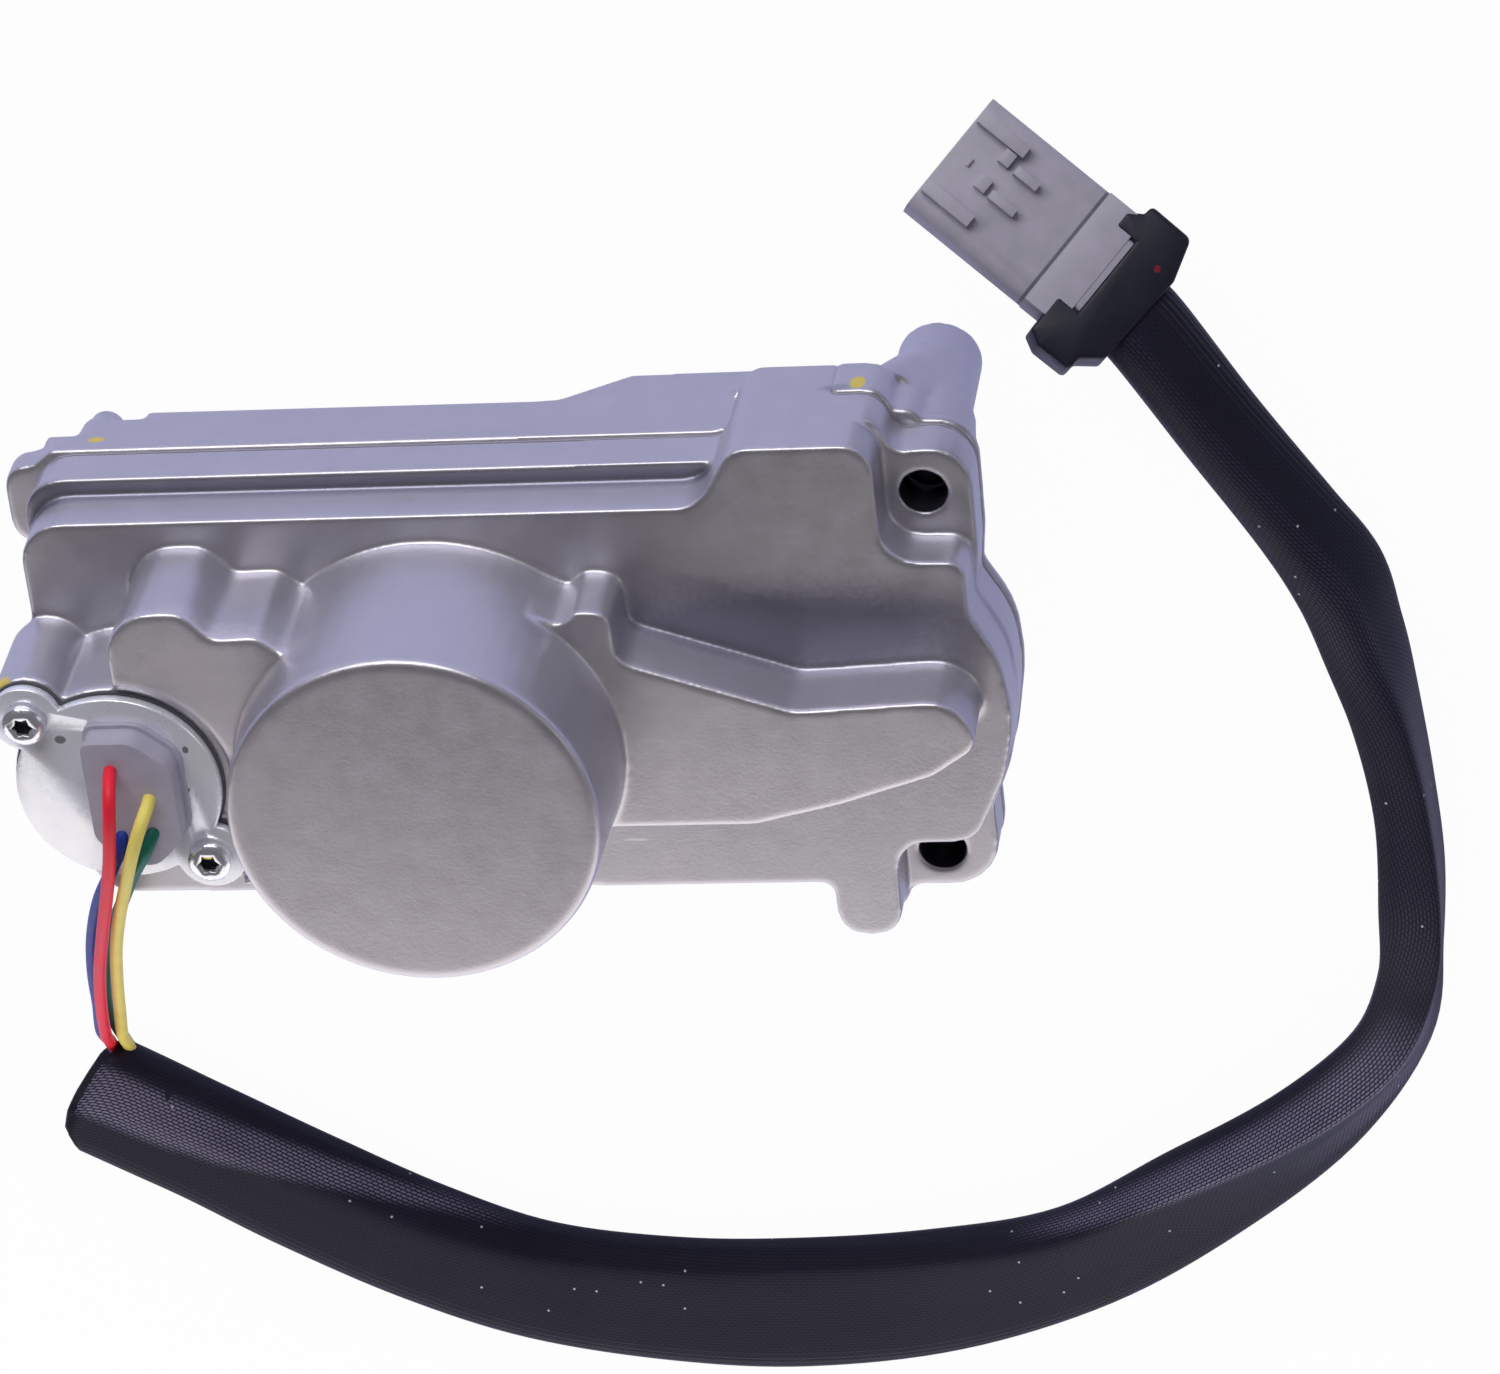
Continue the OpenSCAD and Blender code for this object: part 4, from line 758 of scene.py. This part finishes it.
braidLook = {  # strands and lines in metres along the cloth
    "colour": (0.018, 0.018, 0.037), "gap": (0.013, 0.013, 0.027), "gloss": 0.16, "rough": (0.42, 0.6),
    # painted sheen: the weave's colour and its gaps' colour in the lit bands
    "paintedSheenTone": (0.235, 0.212, 0.33), "paintedSheenGap": (0.016, 0.015, 0.025),
    "line": (0.065, 0.065, 0.085), "linePitch": 0.0012, "lineFrom": 0.006, "lineTo": 0.010, "lineShare": 0.7,
    "strand": 0.00074, "float": 0.0014, "shift": 0.4, "lean": -0.3, "wander": 0.8,
    "shade": (0.80, 0.80, 0.82),
    "dust": (0.55, 0.55, 0.60), "dustScale": 210, "dustSize": 0.055, "dustFew": 0.95,
}


def arch(tree, value, low, high):  # rises and falls once as the value goes from 0 to 1
    return spread(tree, maths(tree, "SINE", times(tree, value, math.pi)), 0, 1, low, high)


def braidWeave(tree, along, around, look):  # 1 on the back of a strand's float, 0 in the gaps
    wander = times(tree, noise(tree, coords(tree, "UV"), scale=60, detail=2), look["wander"])
    row = maths(tree, "ADD", times(tree, around, 1 / look["strand"]), wander)
    rowNumber = maths(tree, "FLOOR", row)
    inRow = maths(tree, "SUBTRACT", row, rowNumber)
    slant = maths(tree, "ADD", times(tree, rowNumber, look["shift"]), times(tree, inRow, look["lean"]))
    step = maths(tree, "ADD", times(tree, along, 1 / look["float"]), slant)
    inStep = maths(tree, "FRACT", step)
    return times(tree, arch(tree, inRow, 0.3, 0.95), arch(tree, inStep, 0.1, 0.55))


def braidLines(tree, around, look):  # fine light lines along the sleeve's edge
    wave = maths(tree, "SINE", times(tree, around, 2 * math.pi / look["linePitch"]))
    atEdge = spread(tree, around, 1, 0, look["lineFrom"], look["lineTo"])
    return times(tree, times(tree, spread(tree, wave, 0, 1, 0.2, 0.9), atEdge), look["lineShare"])


def braidDust(tree, look):  # 1 on a few small specks
    cells = tree.nodes.new("ShaderNodeTexVoronoi")
    cells.voronoi_dimensions = "2D"
    cells.inputs["Scale"].default_value = look["dustScale"]
    tree.links.new(coords(tree, "UV"), cells.inputs["Vector"])
    lucky = tree.nodes.new("ShaderNodeSeparateColor")
    tree.links.new(cells.outputs["Color"], lucky.inputs[0])
    near = maths(tree, "LESS_THAN", cells.outputs["Distance"], look["dustSize"])
    return times(tree, near, maths(tree, "GREATER_THAN", lucky.outputs[0], look["dustFew"]))


def braidCloth(name, look):
    mat, tree, shader = newMaterial(name, look["colour"], 0, 0.5, look["gloss"])
    split = tree.nodes.new("ShaderNodeSeparateXYZ")
    tree.links.new(coords(tree, "UV"), split.inputs[0])
    along, around = split.outputs[0], split.outputs[1]
    weave = braidWeave(tree, along, around, look)
    calm = ramp(tree, weave, [(0.15, look["gap"]), (0.75, look["colour"])])
    # painted sheen: the lit bands of the weave are much lighter
    paintedSheenTone = ramp(tree, weave, [(0.22, look["paintedSheenGap"]), (0.55, look["paintedSheenTone"])])
    lined = mixed(tree, braidLines(tree, around, look), calm, look["line"])
    tone = mixed(tree, attribute(tree, "paintedSheen"), lined, paintedSheenTone)
    cloud = noise(tree, coords(tree, "UV"), scale=60)
    shade = ramp(tree, cloud, [(0.3, look["shade"]), (0.7, (1, 1, 1))])
    cloth = mixed(tree, 1.0, tone, shade, "MULTIPLY")
    dusty = mixed(tree, braidDust(tree, look), cloth, look["dust"])
    tree.links.new(dusty, shader.inputs["Base Color"])
    tree.links.new(spread(tree, weave, *reversed(look["rough"]), 0.1, 0.8), shader.inputs["Roughness"])
    bumped(tree, shader, [(weave, 0.18, 0.0002)])
    return mat


sleeveLine = smoothPath(sleeveRoute, sleeveLook["steps"])
outerRings, outerSheen = sleeveSkin(sleeveLine)
intoSleeve = (Vector(sleeveLine[1][:3]) - Vector(sleeveLine[0][:3])).normalized()
innerRings = sleeveInside(outerRings[0], intoSleeve)
innerSheen = [[0.0] * len(ring) for ring in innerRings]
sleeve = skinned("braidedSleeve", innerRings + outerRings, innerSheen + outerSheen)
handOver(sleeve, braidCloth("braidCloth", braidLook), "braided_sleeve")
print("sleeve laid, in mm", round(pathLength(sleeveLine), 1))


# copies of the rigid nodes, which the castings and the small parts start from
def mergedCopy(nodeName, name, flatDegrees=0):
    mesh = nodes[nodeName].data.copy()
    piece = bpy.data.objects.new(name, mesh)
    scene.collection.objects.link(piece)
    work = bmesh.new()
    work.from_mesh(mesh)
    bmesh.ops.remove_doubles(work, verts=work.verts, dist=1e-6)
    if flatDegrees:
        flat = math.radians(flatDegrees)
        bmesh.ops.dissolve_limit(work, angle_limit=flat, verts=work.verts, edges=work.edges)
    work.to_mesh(mesh)
    work.free()
    return piece


def joinAll(piece, extra):  # the piece ends up active and alone in the selection
    bpy.ops.object.select_all(action="DESELECT")
    for item in [piece] + extra:
        item.select_set(True)
    bpy.context.view_layer.objects.active = piece
    if extra:
        bpy.ops.object.join()


# the two castings
castingLook = {
    "voxel": 0.00048, "passes": 18, "softness": 0.5, "triangles": 190000,
    "steep": (0.85, 0.5),  # how level a face is where the painted wall reflection starts, and over what range
}
webFill = [  # rounded metal that closes the notch between the wide ear and its leg
    {"size": (0.0074, 0.0052, 0.0156), "middle": place(90.9, 48.9, 32)},
    {"size": (0.0036, 0.0072, 0.0106), "middle": place(78.8, 52.4, 34)},
]
castings = {
    "frontCasting": {"node": "front_casting", "slot": "front_alloy", "finish": frontAlloy, "fillets": []},
    "rearCasting": {"node": "rear_casting", "slot": "rear_alloy", "finish": rearAlloy, "fillets": webFill},
}


def fillet(look):  # an oval post
    bpy.ops.mesh.primitive_cylinder_add(vertices=32, radius=0.5, depth=1, location=look["middle"])
    bpy.ops.object.mode_set(mode="EDIT")
    bpy.ops.transform.resize(value=look["size"])
    bpy.ops.object.mode_set(mode="OBJECT")
    return bpy.context.active_object


def markUpright(skin):  # painted reflection: walls take a bluer colour, by how upright the surface stands
    start, reach = castingLook["steep"]
    normals = [0.0] * (3 * len(skin.data.vertices))
    skin.data.vertices.foreach_get("normal", normals)
    values = [min(1.0, max(0.0, (start - abs(z)) / reach)) for z in normals[2::3]]
    upright = skin.data.attributes.new("upright", "FLOAT", "POINT")
    upright.data.foreach_set("value", values)


def castSkin(name, look):
    skin = mergedCopy(look["node"], name)
    joinAll(skin, [fillet(part) for part in look["fillets"]])
    remesh = skin.modifiers.new("remesh", "REMESH")
    remesh.mode = "VOXEL"
    remesh.voxel_size = castingLook["voxel"] * 1
    bpy.ops.object.modifier_apply(modifier=remesh.name)
    soften = skin.modifiers.new("soften", "SMOOTH")
    soften.factor = castingLook["softness"]
    soften.iterations = castingLook["passes"] // 1
    bpy.ops.object.modifier_apply(modifier=soften.name)
    triangles = sum(len(p.vertices) - 2 for p in skin.data.polygons)
    thin = skin.modifiers.new("thin", "DECIMATE")
    thin.ratio = min(1.0, castingLook["triangles"] / triangles)
    bpy.ops.object.modifier_apply(modifier=thin.name)
    bpy.ops.object.shade_smooth()
    markUpright(skin)
    handOver(skin, look["finish"], look["node"])
    print(name, triangles, "->", len(skin.data.polygons))


for castingName, castingPart in castings.items():
    castSkin(castingName, castingPart)

# the small rigid parts, as copies with bevelled edges
plugBlocks = [  # middle and size in the plug's own millimetres: collar, ribs, blades, nubs, mark
    ((32.6, 0, 0), (8.2, 25.9, 14.1)), ((6, -8.4, 7.9), (11, 2.6, 2.6)), ((6, 8.4, 7.9), (11, 2.6, 2.6)),
    ((14.6, 4.6, 7.8), (5.4, 1.8, 2.8)), ((14, -2, 7.8), (6, 1.8, 2.8)), ((9.3, 5.4, 7.5), (2.4, 3.0, 2.4)),
    ((8.8, -1.2, 7.5), (2.4, 3.0, 2.4)), ((4.2, 0.4, 7), (0.6, 1.8, 1.0))]
bevelLook = {"flat": 1, "from": 40, "smooth": 35}  # degrees: faces merged, edges cut, shading smooth
smallParts = {
    "flangePlate": {"node": "flange_plate", "slot": "plated_steel", "finish": metals["plateZinc"],
                    "bevel": 0.00035, "segments": 2, "blocks": []},
    "flangeScrews": {"node": "flange_screws", "slot": "plated_screws", "finish": metals["screwZinc"],
                     "bevel": 0.0002, "segments": 2, "blocks": []},
    "grommetBody": {"node": "grommet", "slot": "grey_rubber", "finish": moulded["grommetRubber"],
                    "bevel": 0.0009, "segments": 4, "blocks": []},
    "plugShell": {"node": "plug_shell", "slot": "grey_plastic", "finish": moulded["plugPlastic"],
                  "bevel": 0.0005, "segments": 3, "blocks": plugBlocks},
    "plugRetainer": {"node": "plug_retainer", "slot": "black_plastic", "finish": moulded["retainerPlastic"],
                     "bevel": 0.0008, "segments": 3, "blocks": []},
}


def plugBlock(middle, size):
    bpy.ops.mesh.primitive_cube_add(size=0.001)
    bpy.ops.object.mode_set(mode="EDIT")
    bpy.ops.transform.resize(value=size)
    bpy.ops.transform.translate(value=[m / 1000 for m in middle])
    bpy.ops.object.mode_set(mode="OBJECT")
    block = bpy.context.active_object
    block.matrix_world = plugFrame
    return block


def softCopy(name, look):
    piece = mergedCopy(look["node"], name, bevelLook["flat"])
    joinAll(piece, [plugBlock(middle, size) for middle, size in look["blocks"]])
    bevel = piece.modifiers.new("bevel", "BEVEL")
    bevel.width = look["bevel"]
    bevel.segments = look["segments"]
    bevel.limit_method = "ANGLE"
    bevel.angle_limit = math.radians(bevelLook["from"])
    bevel.use_clamp_overlap = True
    bpy.ops.object.modifier_apply(modifier=bevel.name)
    bpy.ops.object.shade_smooth_by_angle(angle=math.radians(bevelLook["smooth"]))
    handOver(piece, look["finish"], look["node"])
    return piece


softCopies = {name: softCopy(name, look) for name, look in smallParts.items()}
print("small parts bevelled")
